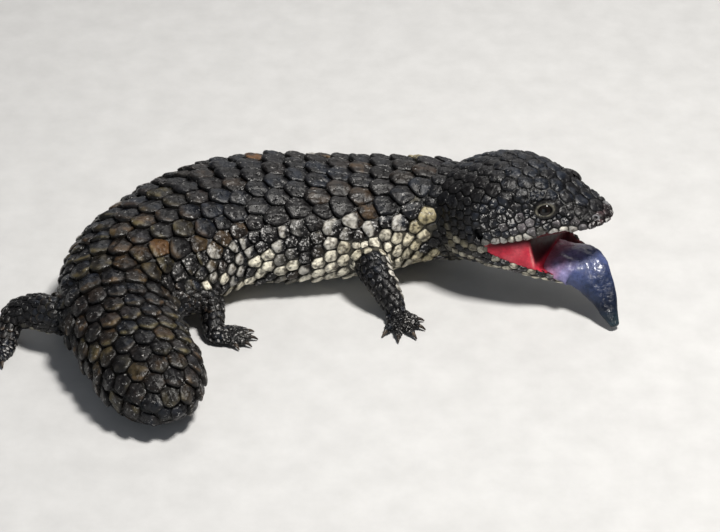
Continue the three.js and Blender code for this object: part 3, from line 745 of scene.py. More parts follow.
def limb_distance(place):
    """How far outside the nearest limb points lie, their share of its length, how far forward of it."""
    best = np.full(len(place), 1e9)
    where = np.zeros(len(place))
    front = np.zeros(len(place))
    for limb in LIMBS.values():
        shares = np.linspace(0.1, 1, 30)
        line = curve(limb["path"][:, :3], shares)
        radius = np.interp(shares, np.linspace(0, 1, len(limb["path"])), limb["path"][:, 3])
        for share, point, thick in zip(shares, line, radius):
            apart = place - point
            away = np.linalg.norm(apart, axis=1) - thick
            closer = away < best
            best[closer] = away[closer]
            where[closer] = share
            front[closer] = apart[closer, 0] / thick
        on_foot = (np.linalg.norm(place[:, :2] - line[-1, :2], axis=1) < 18) & (place[:, 2] < 8)
        best[on_foot] = np.minimum(best[on_foot], 0)
        where[on_foot] = 1
    return best, where, front


def limb_mark(place, where, front):
    """Dark limbs with pale spots down the arms' front edges, and a pale underside of the thighs."""
    colour = mix(BLACK, BLUE_BLACK, smooth(-0.4, 0.5, noise(place, 9, 21)))
    under = smooth(13, 8, place[:, 2]) * smooth(0.62, 0.4, where)
    colour = mix(colour, mix(CREAM, OLIVE, 0.5), 0.8 * under * spotted(place, 0.6, 3.4, 22))
    arm = smooth(-40, -20, place[:, 0])
    spots = (0.08 + 0.6 * arm * smooth(0.35, 0.75, front)) * (where < 0.95)
    return mix(colour, mix(CREAM, ASH, 0.5), 0.75 * spotted(place, spots, 3.3, 23))


def mark_and_shade(place):
    """The animal's marking at each point, with painted shade at the nape: the skin and the scales both take
    their colour from here.
    """
    colour = trunk_mark_and_shade(place)
    head = to_head(place)
    on_head = (head[:, 0] > -HEAD["back"]) & (np.abs(head[:, 1]) < 34)
    colour[on_head] = head_mark_and_shade(head[on_head], place[on_head])
    away, where, front = limb_distance(place)
    s, turn = trunk_coordinates(place)
    inside = np.linalg.norm((place - trunk_point(s, turn))[:, :2], axis=1) < 2.4
    on_limb = (away < 2.2) & ~on_head & ~inside
    colour[on_limb] = limb_mark(place[on_limb], where[on_limb], front[on_limb])
    return colour


def speckle_and_glint_share(place):
    """How thickly pale speckles, partly painted glints, lie: on the flanks, cheeks, snout and feet, and
    thinly elsewhere.
    """
    s, round_ = back_and_round(place)
    trunk = 0.15 + 0.6 * smooth(38, 62, round_) * (1 - 0.7 * smooth(150, 200, s))
    x, _, high = to_head(place).T
    cheek = 0.05 + 0.85 * smooth(0.8, 0.5, high / along(SKULL, 2, x)) * smooth(8, 28, x)
    away, where, front = limb_distance(place)
    limb = 0.2 + 0.3 * smooth(0, 1, front) + 0.3 * smooth(0.8, 0.95, where)
    return np.where(x > -HEAD["back"], cheek, np.where(away < 0.8, limb, trunk))


# The skin


def lengthwise(surface, start, end, ease=0.5):
    """A surface as shares round it and along it, its rings set closer towards both ends."""
    return lambda u, v: surface(start + eased(v, ease) * (end - start), u * CIRCLE)


def trunk_shell(s, turn):
    return trunk_point(s, turn, -COAT["trunk"])


def head_shell(x, turn):
    return from_head(head_point(x, turn, -COAT["head"]))


def jaw_shell(x, turn):
    return from_head(opened(jaw_point(x, turn, -COAT["head"])))


def lining_shell(x, turn):
    """The wedge of flesh between the jaws at the mouth's corners."""
    slope = math.tan(math.radians(JAW["gape"]))
    end = np.minimum(rounding(LINING["to"] - x, 2), rounding(x - LINING["from"], 2))
    floor = HINGE[2] - (x - HINGE[0]) * slope - LINING["root"]
    half = along(SKULL, 1, x) - LINING["inset"]
    y = power(np.sin(turn), 0.5) * half * end
    z = floor / 2 + power(np.cos(turn), 0.5) * (LINING["root"] - floor / 2) * end
    return from_head(np.stack([x, y, z], -1))


def lining_with_throat():
    """The wedge hollowed from the front by the throat."""
    wedge = make_object("Wedge", *loft(48, 30, lengthwise(lining_shell, LINING["from"], LINING["to"], 0.4)))
    verts, faces = ellipsoid(THROAT["at"], THROAT["size"])
    throat = make_object("Throat", from_head(verts), faces)
    cut = wedge.modifiers.new("Hollow", "BOOLEAN")
    cut.operation = "DIFFERENCE"
    cut.object = throat
    cut.solver = "EXACT"
    mesh = evaluated(wedge)
    made = vertices_of(mesh), faces_of(mesh)
    for used in (wedge, throat):
        bpy.data.objects.remove(used)
    return made


def foot_shells(limb):
    heading, length, half = limb["palm"]
    middle, _ = palm_of(limb)
    verts, faces = ellipsoid((0, 0, 0), (length, half, PALM["half"]))
    shells = [(verts @ turn_about("z", heading).T + middle, faces)]
    for toe, _ in toe_paths(limb):
        shells.append(loft(16, 12, lambda u, v: toe_point(limb, toe, v, u * CIRCLE, -COAT["toe"])))
    return shells


def skin_mesh():
    """One closed surface of trunk, tail, head, mouth, limbs and toes."""
    shells = [
        loft(96, 150, lengthwise(trunk_shell, SPINE_START, SPINE_END)),
        loft(96, 80, lengthwise(head_shell, -HEAD["back"], HEAD["length"])),
        loft(80, 70, lengthwise(jaw_shell, JAW["start"], JAW["length"])),
        lining_with_throat(),
    ]
    for limb in LIMBS.values():
        shells.append(loft(32, 40, lambda u, v: limb_point(limb, v, u * CIRCLE, -COAT["limb"])))
        shells += foot_shells(limb)
    skin = make_object("Skin", *joined(shells))
    remesh = skin.modifiers.new("One skin", "REMESH")
    remesh.mode = "VOXEL"
    remesh.voxel_size = SKIN_VOXEL * MM
    soften = skin.modifiers.new("Soften", "SMOOTH")
    soften.factor = 0.5
    soften.iterations = SKIN_SMOOTHING
    evaluated(skin)
    return skin


def side_of(head):
    return np.where(head[:, 1] > 0, 1.0, -1.0)


def carve_openings(mesh):
    """Sinks the cup of each ear and the hollow round each eye into the skin, and lifts it off the floor."""
    head = to_head(vertices_of(mesh))
    for side in (1, -1):
        axis = mirrored(EYE["axis"], side)
        from_eye = head - mirrored(EYE["at"], side)
        out = from_eye @ axis
        away = np.linalg.norm(from_eye - out[:, None] * axis, axis=1)
        head -= axis * (ORBIT["depth"] * smooth(1.0, 0.6, away / ORBIT["radius"]) * (out > 0))[:, None]
    x, y, z = EAR["at"]
    wide, tall = EAR["size"]
    away = np.hypot((head[:, 0] - x) / wide, (head[:, 2] - z) / tall)
    near = np.abs(np.abs(head[:, 1]) - y) < EAR["reach"]
    head[:, 1] -= side_of(head) * EAR["depth"] * smooth(1.25, 0.55, away) * near
    place = from_head(head)
    place[:, 2] = np.maximum(place[:, 2], FLOOR_GAP)
    mesh.vertices.foreach_set("co", ((place + SHIFT) * MM).ravel())
    mesh.update()


def in_mouth(place, normal):
    """Whether points of the skin belong to the wet inside of the mouth."""
    head = to_head(place)
    facing = normal @ HEAD_AXES
    jaw = closed(head)
    jaw_facing = facing @ JAW_AXES
    x, high = head[:, 0], head[:, 2]
    over_rim = jaw[:, 2] - JAW["rim"]
    parted = x > MOUTH_CORNER
    between = (high < 0.3) & (over_rim > -0.5) & (x > MOUTH_CORNER - 3)
    within = np.abs(jaw[:, 1]) < 0.86 * along(SKULL, 1, jaw[:, 0])
    hollow = within & (high < PALATE["rise"]) & (over_rim > -JAW["floor"] - 0.6) & parted
    hollow = hollow & (jaw[:, 0] < 62) & ((x < 58) | (high < 0))
    under = (facing[:, 2] < -0.5 - 0.35 * smooth(60, 68, x)) & (high > -0.8)
    roof = under & (high < PALATE["rise"] + 1) & parted
    inward = (-side_of(jaw) * jaw_facing[:, 1] > 0.25) | (jaw_facing[:, 0] < -0.35) | (jaw_facing[:, 2] > 0.5)
    floor = inward & (jaw[:, 2] < 0) & (over_rim > -6) & (high < -1) & parted
    return between | hollow | roof | floor


# Colours of the mouth: flesh, lighter flesh, painted shade for its shaded inside, and a pale edge
MOUTH_COLOURS = {
    "flesh": (0.6, 0.035, 0.065), "light flesh": (0.7, 0.1, 0.13), "painted_shade": (0.03, 0.002, 0.0025),
    "edge": (0.72, 0.5, 0.44),
}


def mouth_colour_and_shade(place):
    """Pink red cheeks with a pale front edge; painted shade darkens the palate, the throat, the side walls
    ahead of the cheeks, the far side and a band at the cheeks' front.
    """
    red, light, painted_shade, edge = (np.array(colour) for colour in MOUTH_COLOURS.values())
    head = to_head(place)
    x, across, high = head.T
    below = closed(head)[:, 2]
    aside = np.abs(across) / along(SKULL, 1, x)
    cheek_end = LINING["to"]
    flesh = mix(red, light, smooth(-0.4, 0.6, noise(place, 5, 41)))
    ahead = smooth(cheek_end, cheek_end + 3, x)
    rim_share = 0.95 + 0.2 * ahead
    palate = smooth(-3.5, -1, high) * smooth(rim_share + 0.05, rim_share - 0.05, aside)
    above_jaw = smooth(JAW["rim"] + 0.5, JAW["rim"] + 4, below)
    throat = smooth(0.9, 0.8, aside) * smooth(52, 44, x) * above_jaw
    wall = 0.85 * smooth(0.62, 0.8, aside) * ahead * (below > JAW["rim"] - 3)
    far = smooth(0.1, 0.45, aside * np.sign(across)) * smooth(cheek_end - 2.5, cheek_end - 1, x)
    # Painted shade over the palate, throat, side walls and far side, where the head shades the mouth
    colour = mix(flesh, painted_shade, 0.94 * np.maximum(np.maximum(palate, throat), np.maximum(wall, far)))
    front = smooth(cheek_end - 3.2, cheek_end - 2.2, x) * smooth(cheek_end + 2, cheek_end + 1, x)
    # Painted shade in a band along the cheeks' front edge
    colour = mix(colour, painted_shade, 0.9 * front * smooth(0.88, 0.84, aside) * above_jaw)
    rim = front * smooth(cheek_end - 2.1, cheek_end - 1.3, x) * smooth(0.875, 0.905, aside)
    rim = rim * smooth(0, -2, high)
    colour = mix(colour, edge, 0.8 * rim)
    return mix(colour, PLUM, smooth(52, 60, x) * smooth(-6, -3, high))


def split_off(skin, keep, name, material):
    """Moves the faces that keep says into an object of their own."""
    verts, faces = vertices_of(skin.data), faces_of(skin.data)
    parts = []
    for wanted in (False, True):
        chosen = [face for face, kept in zip(faces, keep) if kept == wanted]
        used = np.unique(np.concatenate([np.array(face) for face in chosen]))
        index = np.full(len(verts), -1)
        index[used] = np.arange(len(used))
        parts.append((verts[used], [index[face].tolist() for face in chosen]))
    rest_name = skin.name
    bpy.data.objects.remove(skin)
    return make_object(rest_name, *parts[0]), make_object(name, *parts[1], material)


# Seeds of the scales: place, way back, size, family and place on the chart


def chart_of(left, wide, low, tall, start=0.0, end=1.0):
    """Places on the skin's unwrap, where a form from its start to its end has a rectangle."""
    return lambda at, turn: (left + wide * (at - start) / (end - start), low + tall * (turn / CIRCLE + 0.5))


# Head and jaw are counted backwards, as the lie of their scales is
trunk_chart = chart_of(0.02, 0.94, 0.02, 0.42, SPINE_START, SPINE_END + 2)
head_chart = chart_of(0.02, 0.3, 0.48, 0.3, 10, -74)
jaw_chart = chart_of(0.36, 0.2, 0.48, 0.3, -10, -70)


def head_surface(back, turn):
    return from_head(head_point(-np.asarray(back, float), turn))


def jaw_surface(back, turn):
    return from_head(opened(jaw_point(-np.asarray(back, float), turn)))


# Surface, its start and end, how close its rows lie, its zones and chart
HEAD_PARTS = [
    (head_surface, -HEAD["length"] + 0.3, HEAD["back"] - 0.8, 0.88, HEAD_ZONES, head_chart),
    (jaw_surface, -JAW["length"] + 0.3, -JAW["start"] - 4, 0.92, JAW_ZONES, jaw_chart),
]
TRUNK_PARTS = [
    (trunk_point, SPINE_START + 2, TAIL_START, 0.88, TRUNK_ZONES, trunk_chart),
    (trunk_point, TAIL_START, SPINE_END - 0.1, 0.88, TAIL_ZONES, trunk_chart),
]


def rows_between(point, start, end, pitch):
    """Places along a surface's midline, a pitch apart as measured on the surface."""
    s = np.linspace(start, end, 600)
    length = arc_of(point(s, 0.0))
    count = max(2, round(length[-1] / pitch))
    return np.interp(np.arange(count + 1) * length[-1] / count, length, s)


def seed_at(surface, at, turn, step, size, family, chart):
    back = surface(at + step, turn) - surface(at - step, turn)
    return surface(at, turn), unit(back), size, family, chart


def sow_body(parts):
    """Staggered rows of seeds on both sides of the parts' zones."""
    seeds = []
    for side in (1, -1):
        for surface, start, end, closeness, zones, chart in parts:
            for first, last, size, family in zones:
                turns = np.linspace(math.radians(first) * side, math.radians(last) * side, 80)
                for row, s in enumerate(rows_between(surface, start, end, size * closeness)):
                    arc = arc_of(surface(np.full(80, s), turns))
                    steps = np.arange(0.0 if row % 2 else size / 2, arc[-1] + size * 0.25, size)
                    for turn in np.interp(steps, arc, turns):
                        seeds.append(seed_at(surface, s, turn, 0.5, size, family, chart(s, turn)))
    return seeds


def sow_rings(surface, start, end, pitch, family, chart):
    """Staggered rings of seeds round a limb or toe, between two shares of the way along it."""
    seeds = []
    size = FAMILIES[family]["size"]
    for row, v in enumerate(rows_between(surface, start, end, pitch)):
        length = arc_of(surface(np.full(60, v), np.linspace(0, CIRCLE, 60)))[-1]
        count = max(4, round(length / size))
        for k in range(count):
            turn = CIRCLE * (k + 0.5 * (row % 2)) / count
            spot = chart(v, (turn + np.pi) % CIRCLE - np.pi)
            seeds.append(seed_at(surface, v, turn, 0.02, size, family, spot))
    return seeds


def sow_limbs():
    seeds = []
    for number, limb in enumerate(LIMBS.values()):
        chart = chart_of(0.6 + 0.09 * number, 0.08, 0.48, 0.3)
        seeds += sow_rings(partial(limb_point, limb), 0.06, 0.97, 3.9, "limb", chart)
        for place, (toe, _) in enumerate(toe_paths(limb)):
            chart = chart_of(toe_chart_start(number, place), 0.035, 0.82, 0.15)
            seeds += sow_rings(partial(toe_point, limb, toe), 0.1, 0.93, 1.9, "toe", chart)
    return seeds


def toe_chart_start(number, place):
    """Where a limb's toe begins on the unwrap; its palm follows the last toe."""
    return 0.02 + 0.23 * number + 0.045 * place


def sow_palms():
    """Rows of seeds over the top of each hand and foot."""
    seeds = []
    size = 2.6
    for number, limb in enumerate(LIMBS.values()):
        _, length, half = limb["palm"]
        middle, ahead = palm_of(limb)
        across = np.array([-ahead[1], ahead[0], 0])
        for row, a in enumerate(np.arange(-length + 1, length, size * 0.88)):
            for b in np.arange(-half + (row % 2) * size / 2, half, size):
                inside = 1 - (a / length) ** 2 - (b / half) ** 2
                if inside > 0.05:
                    rise = np.array([0, 0, PALM["half"] * math.sqrt(inside)])
                    here = middle + ahead * a + across * b + rise
                    spot = (toe_chart_start(number, 4.6) + 0.0015 * a, 0.9 + 0.003 * b)
                    seeds.append((here, ahead, size, "toe", spot))
    return seeds


def sow_lips():
    """The row of shields along each lip, from the mouth's corner round the snout."""
    seeds = []
    size = FAMILIES["lip"]["size"]
    upper = head_surface, head_point, head_chart, 2.0, HEAD["length"]
    lower = jaw_surface, jaw_point, jaw_chart, JAW["rim"] - 1.8, JAW["length"]
    for surface, point, chart, height, end in (upper, lower):
        for side in (1, -1):
            turns = np.linspace(math.radians(70), math.radians(150), 160) * side
            steps = np.linspace(MOUTH_CORNER - 3, end - 0.2, 400)
            picked = [turns[np.argmin(np.abs(point(np.full(160, x), turns)[:, 2] - height))] for x in steps]
            line = surface(-steps, np.array(picked))
            arc = arc_of(line)
            for at in np.arange(size / 2, arc[-1], size):
                i = min(int(np.searchsorted(arc, at)), len(line) - 2)
                spot = chart(-steps[i], side * math.pi * 0.55)
                seeds.append((line[i], unit(line[i] - line[i + 1]), size, "lip", spot))
    return seeds


def sow_lids():
    """An oval of small seeds round each eye, each lying outwards."""
    seeds = []
    count, size = LID_SCALES["count"], LID_SCALES["size"]
    wide, tall = LID_SCALES["oval"]
    for side in (1, -1):
        axis = mirrored(EYE["axis"], side)
        level = unit(np.cross([0, 0, 1], axis))
        up = np.cross(axis, level)
        at = head_chart(-47, side)
        for i in range(count):
            c, s = math.cos(CIRCLE * i / count), math.sin(CIRCLE * i / count)
            out = level * c * wide + up * s * tall
            here = from_head(mirrored(EYE["at"], side) + out + axis * LID_SCALES["forward"])
            spot = (at[0] + 0.01 * c, at[1] + 0.01 * s)
            seeds.append((here, unit(out) @ HEAD_AXES.T, size, "lid", spot))
    return seeds


# Settling the seeds on the skin


class Skin:
    """The skin's nearest points and which way it faces there."""

    def __init__(self, shown):
        self.verts = vertices_of(shown.data)
        self.normals = read_vertices(shown.data, "normal")
        self.tree = BVHTree.FromPolygons(self.verts.tolist(), faces_of(shown.data))

    def nearest(self, place):
        found = [self.tree.find_nearest(Vector(p)) for p in place]
        return np.array([f[0] for f in found]), np.array([f[1] for f in found])


def tree_of(place):
    tree = KDTree(len(place))
    for i, p in enumerate(place):
        tree.insert(Vector(p), i)
    tree.balance()
    return tree


def neighbours(place, count):
    tree = tree_of(place)
    return np.array([[j for _, j, _ in tree.find_n(Vector(p), count + 1)][1:] for p in place])


def clear_of_openings(place):
    """Whether seeds keep clear of the eyes, ears and nostrils."""
    head = to_head(place)
    left = head * np.stack([np.ones(len(head)), side_of(head), np.ones(len(head))], 1)
    from_eye = left - np.array(EYE["at"]) - 3 * np.array(EYE["axis"])
    eye = np.linalg.norm(from_eye, axis=1) > CLEAR["eye"]
    wide, tall, least = CLEAR["ear"]
    ear = np.hypot((left[:, 0] - EAR["at"][0]) / wide, (left[:, 2] - EAR["at"][2]) / tall) > least
    ear |= (left[:, 1] < 15) | (head[:, 0] < -2)
    nostril = np.linalg.norm(left - np.array(NOSTRIL["at"]), axis=1) > CLEAR["nostril"]
    return eye & ear & nostril


def thinned(seeds):
    """Drops seeds that lie too near one of higher standing."""
    place, size, family = seeds["place"], seeds["size"], seeds["family"]
    order = sorted(range(len(place)), key=lambda i: (FIRST_TO_STAY.get(family[i], len(FIRST_TO_STAY)), i))
    tree = tree_of(place)
    chosen = np.zeros(len(place), bool)
    for i in order:
        found = tree.find_range(Vector(place[i]), size[i])
        least = SETTLING["crowded"]
        chosen[i] = not any(chosen[j] and d < least * (size[i] + size[j]) for _, j, d in found)
    return {key: values[chosen] for key, values in seeds.items()}


def gaps_filled(seeds, skin):
    """Adds a seed wherever the skin lies too far from every seed, like the seed nearest to it."""
    tree = tree_of(seeds["place"])
    verts, facing = skin.verts[::2], skin.normals[::2]
    open_skin = clear_of_openings(verts) & ~in_mouth(verts, facing) & (verts[:, 2] > 0.8)
    verts, facing = verts[open_skin], facing[open_skin]
    found = [tree.find(Vector(p)) for p in verts]
    nearest = np.array([f[1] for f in found])
    gap = np.array([f[2] for f in found]) / seeds["size"][nearest]
    added = []
    for i in np.argsort(-gap):
        if gap[i] < SETTLING["gap"]:
            break
        reach = SETTLING["filler"] * seeds["size"][nearest[i]]
        if all(np.linalg.norm(verts[i] - verts[j]) > reach for j in added):
            added.append(i)
    new = {key: values[nearest[added]] for key, values in seeds.items()}
    new["place"] = verts[added]
    new["facing"] = facing[added]
    new["chart"] = new["chart"] + 2 * PATCH
    return {key: np.concatenate([seeds[key], new[key]]) for key in seeds}


def settle(seeds, skin):
    """Drops seeds that lie off the skin, fills gaps, then evens them out."""
    keys = ("place", "back", "size", "family", "chart")
    seeds = {key: np.array([seed[i] for seed in seeds]) for i, key in enumerate(keys)}
    spots, facing = skin.nearest(seeds["place"])
    away = np.linalg.norm(spots - seeds["place"], axis=1)
    keep = away < np.where(seeds["size"] > 4, 2.4, 1.6)
    keep &= clear_of_openings(seeds["place"]) | np.isin(seeds["family"], PINNED)
    keep &= ~in_mouth(spots, facing) & (spots[:, 2] > 0.3)
    seeds["facing"] = facing
    seeds = gaps_filled(thinned({key: values[keep] for key, values in seeds.items()}), skin)
    size = seeds["size"]
    pinned = np.isin(seeds["family"], PINNED)
    for _ in range(SETTLING["rounds"]):
        place = seeds["place"]
        near = neighbours(place, 8)
        apart = place[near] - place[:, None]
        distance = np.linalg.norm(apart, axis=-1)
        wanted = SETTLING["spacing"] * (size[near] + size[:, None])
        short = np.maximum(wanted - distance, 0) * SETTLING["push"]
        push = -(unit(apart) * short[..., None]).sum(1)
        push[pinned] = 0
        seeds["place"], seeds["facing"] = skin.nearest(place + push)
    return seeds


# The scales


def cell_reach(seeds, chosen, near, back, side, turns, groove):
    """How far each scale reaches in each direction: half way to its neighbours, less the groove."""
    place, size, facing = seeds["place"], seeds["size"], seeds["facing"]
    apart = place[near[chosen]] - place[chosen][:, None]
    a = (apart * back[:, None]).sum(-1)
    b = (apart * side[:, None]).sum(-1)
    away = np.maximum(np.hypot(a, b), 0.3)
    share = size[chosen][:, None] / (size[chosen][:, None] + size[near[chosen]])
    limit = np.maximum(away * share - groove / 2, 0.35)
    same_side = (facing[chosen][:, None] * facing[near[chosen]]).sum(-1) > 0.1
    limit = np.where(same_side, limit, 1e3)
    lined = np.cos(turns[None, None] - np.arctan2(b, a)[..., None])
    total = (np.maximum(lined, 0) / limit[..., None]) ** CELL_SHARPNESS
    cap = (1 / (0.62 * size[chosen])) ** CELL_SHARPNESS
    return (total.sum(1) + cap[:, None]) ** (-1 / CELL_SHARPNESS)


def roughness_of(spots, turns, ring, number):
    """Lumps all over a scale and ridges that run out from its middle, between about -1 and 1."""
    lumps = noise(spots, 1.9, 51) + 0.5 * noise(spots, 0.95, 52)
    back, aside = 2.6 * np.cos(turns) + 3.1 * number, 2.6 * np.sin(turns) + 1.7 * number
    around = back, aside, 0.9 * ring + 0.37 * number
    ridges = noise(np.stack(np.broadcast_arrays(*around), -1), 1.0, 53)
    return 0.55 * lumps + 0.9 * ridges * ring


def plate_heights(family, grade, ring, across, rough):
    """How high a scale stands: a plate that rises backwards, domed, keeled and rough, with a rolled edge."""
    rim = family["front"] + (family["rear"] - family["front"]) * grade
    dome = family["dome"] * (1 - ring ** 2.6) * (0.7 + 0.3 * grade)
    keel = family["keel"] * np.exp(-(across / 0.2) ** 2) * (1 - ring ** 3)
    rough = family["rugose"] * rough * (1 - 0.75 * ring ** 5)
    return rim + dome + keel + rough - 0.15 * family["rear"] * smooth(0.9, 1.0, ring)


def plate_colours(place, verts, grade, ring, rough):
    """One marking for each scale: lighter where it is high, partly as painted glint, black in its groove,
    flecked and speckled, the speckles partly painted glints.
    """
    base = mark_and_shade(place)[:, None] * np.ones((1, grade.shape[1], 1))
    light = smooth(0.06, 0.3, base.mean(-1))
    dark = 1 - light
    s = trunk_coordinates(place)[0]
    on_trunk = to_head(place)[:, 0] < -HEAD["back"]
    behind = smooth(110, 170, s) * on_trunk * smooth(-0.5, 0.3, noise(place, 14, 41))
    rear = mix(BROWN * 1.9, OLIVE * 0.8, smooth(-0.3, 0.3, noise(place, 8, 42)))
    rim = smooth(0.62, 0.9, grade) * smooth(0.5, 0.85, ring)
    colours = mix(base, rear[:, None], 0.75 * behind[:, None] * rim * dark)
    patch = noise(verts, 3.2, 35)
    colours = mix(colours, BLACK, 0.85 * smooth(-0.3, 0.15, patch) * dark)
    # Pale rear halves of many flank scales: partly pale colour, partly a painted glint
    pale_and_glint = rear_pale_and_glint(place)[:, None] * smooth(0.42, 0.62, grade + 0.25 * patch)
    colours = mix(colours, mix(ASH, CREAM, 0.5) * 0.75, 0.75 * pale_and_glint * dark)
    # Lighter on the rough ridges: partly wear, partly a painted glint where they catch the light
    wear_and_glint = smooth(0.1, 0.8, rough) * (0.3 + 0.7 * grade)
    colours = mix(colours, colours * 1.6 + 0.008, 0.75 * wear_and_glint * dark)
    colours = mix(colours, BROWN * 0.8, light * 0.55 * smooth(0.42, 0.1, grade))
    fleck = smooth(0.08, 0.26, 0.6 * noise(verts, 1.3, 34) + 0.3 * noise(verts, 0.8, 33))
    colours = mix(colours, BROWN * 0.6, 0.75 * smooth(0.06, 0.3, colours.mean(-1)) * fleck)
    edge = smooth(0.9, 1.0, ring) * np.ones(grade.shape)
    # Share of pale speckles, partly painted glints, more on the rear half of each scale
    share = speckle_and_glint_share(place)[:, None] * (0.4 + 0.6 * grade) * (1 - 0.7 * light) * (1 - edge)
    return mix(colours, BLACK * 0.5, 0.85 * edge), share


def raise_scales(name, seeds, near, skin, material):
    """One mesh of a family's scales, each a plate with a sunk root."""
    family = FAMILIES[name]
    chosen = np.nonzero(seeds["family"] == name)[0]
    count, spokes = len(chosen), family["spokes"]
    turns = np.arange(spokes) * CIRCLE / spokes
    place, facing, size, back = (seeds[key][chosen] for key in ("place", "facing", "size", "back"))
    back = unit(back - (back * facing).sum(-1, keepdims=True) * facing)
    side = np.cross(facing, back)
    reach = cell_reach(seeds, chosen, near, back, side, turns, family["groove"])
    reach = reach * (1 + family["overlap"] * np.maximum(np.cos(turns), 0) ** 1.5)
    shares = np.array(family["rings"] + (ROOT_SHARE,))
    ring = shares[None, :, None]
    radial = ring * reach[:, None]
    a = radial * np.cos(turns)
    b = radial * np.sin(turns)
    flat = place[:, None, None] + back[:, None, None] * a[..., None] + side[:, None, None] * b[..., None]
    spots, here = (found.reshape(flat.shape) for found in skin.nearest(flat.reshape(-1, 3)))
    out = unit(0.55 * facing[:, None, None] + 0.45 * here)
    half = size[:, None, None] / 2
    grade = 0.5 + 0.5 * np.clip(a / half, -1, 1)
    rough = roughness_of(spots, turns, ring, chosen[:, None, None])
    varied = 1 + SCALE_VARIATION * (scattered(chosen * 12.9898) * 2 - 1)
    taller = (size / family["size"] * varied)[:, None, None]
    high = plate_heights(family, grade, ring, b / half, rough) * taller
    high[:, -1] = -ROOT_DEPTH * min(1, family["size"] / FAMILIES["lip"]["size"])
    crest = plate_heights(family, 0.5, 0.0, 0.0, 0.0) * taller[:, 0]
    middle = (place + facing * crest)[:, None]
    verts = np.concatenate([middle, (spots + out * high[..., None]).reshape(count, -1, 3)], 1)
    verts[..., 2] = np.maximum(verts[..., 2], FLOOR_GAP)
    faces = plate_faces(spokes, len(shares), count)
    shown = make_object("Scales_" + name, verts.reshape(-1, 3), faces, material)

    def spread(values, centre):
        wide = np.broadcast_to(values, grade.shape).reshape(count, -1)
        return np.concatenate([np.full((count, 1), centre), wide], 1)
    rim = np.array(family["rings"] + (1.0,))[None, :, None]
    colours, share = plate_colours(place, verts, spread(grade, 0.5), spread(rim, 0.0), spread(rough, 0.0))
    paint(shown, colours.reshape(-1, 3), share.ravel())
    circle = np.stack([np.outer(shares, np.cos(turns)).ravel(), np.outer(shares, np.sin(turns)).ravel()], 1)
    patch = np.vstack([[0, 0], circle]) * PATCH
    lay_out(shown.data, (seeds["chart"][chosen][:, None] + patch[None]).reshape(-1, 2))
    return shown


def plate_faces(spokes, rings, count):
    """Faces of many plates, each with a middle vertex and its rings from the middle outwards."""
    per = 1 + spokes * rings
    quads = np.concatenate([band(1 + ring * spokes, spokes)[:, [0, 3, 2, 1]] for ring in range(rings - 1)])
    tris = np.insert(band(1, spokes)[:, :2], 0, 0, axis=1)
    starts = per * np.arange(count)[:, None, None]
    quads, tris = ((kind[None] + starts).reshape(-1, kind.shape[1]).tolist() for kind in (quads, tris))
    return quads + tris


def lay_out(mesh, spots):
    """The map OFBake: a place on the chart for each vertex."""
    loops = np.empty(len(mesh.loops), int)
    mesh.loops.foreach_get("vertex_index", loops)
    layer = mesh.uv_layers.new(name="OFBake")
    layer.data.foreach_set("uv", spots[loops].astype(np.float32).ravel())


def scale_coat(skin, material):
    sown = sow_lids() + sow_lips() + sow_body(HEAD_PARTS) + sow_body(TRUNK_PARTS) + sow_limbs() + sow_palms()
    seeds = settle(sown, skin)
    near = neighbours(seeds["place"], NEIGHBOURS)
    return [raise_scales(name, seeds, near, skin, material) for name in FAMILIES]


# Eyes, lids, nostrils, claws and tongue

# Sections of the lids and nostrils: share of the opening's radius, height, darkness
LID_PROFILE = np.array([
    (0.96, -0.4, 1.0), (1.0, 0.2, 1.0), (1.08, 0.62, 0.8), (1.2, 0.85, 0.15), (1.34, 0.85, 0.1),
    (1.5, 0.6, 0.8), (1.7, 0.35, 1.0), (1.95, -0.3, 1.0), (2.1, -1.6, 1.0),
])
NOSTRIL_PROFILE = np.array([
    (1.5, -1.0, 0.8), (1.25, 0.1, 0.5), (0.95, 0.4, 0.2), (0.7, 0.25, 0.5), (0.55, -0.3, 1.0),
    (0.1, -1.2, 1.0),
])
SIDES = ((1, "left"), (-1, "right"))
PUPIL = np.array([0.002, 0.002, 0.002])
IRIS = np.array([0.008, 0.005, 0.004])
IRIS_RIM = np.array([0.003, 0.0025, 0.0025])
LID = np.array([0.14, 0.13, 0.1])
LID_SHADE = np.array([0.07, 0.066, 0.055])
HORN = np.array([0.03, 0.022, 0.018])
HORN_LIGHT = np.array([0.085, 0.065, 0.048])


def lathe(centre, axis, profile, around, flatness=1.0):
    """Rings of (radius, height) round an axis of the head's frame, made lower by the flatness."""
    out = unit(np.array(axis, float))
    ahead = unit(np.cross([0, 0, 1], out))
    up = np.cross(out, ahead)
    turns = np.arange(around) * CIRCLE / around
    rings = []
    for radius, height in profile:
        ring = np.outer(np.cos(turns) * radius, ahead) + np.outer(np.sin(turns) * radius * flatness, up)
        rings.append(centre + ring + out * height)
    faces = [face for ring in range(len(profile) - 1) for face in band(ring * around, around).tolist()]
    return from_head(np.vstack(rings)), faces


def chart_piece(shown, at):
    """The map OFBake of one small form: a patch at its root's place."""
    place = vertices_of(shown.data)
    flat = place[:, :2] - place[:, :2].mean(0)
    lay_out(shown.data, flat / np.abs(flat).max() * PATCH * 2 + np.array(at))


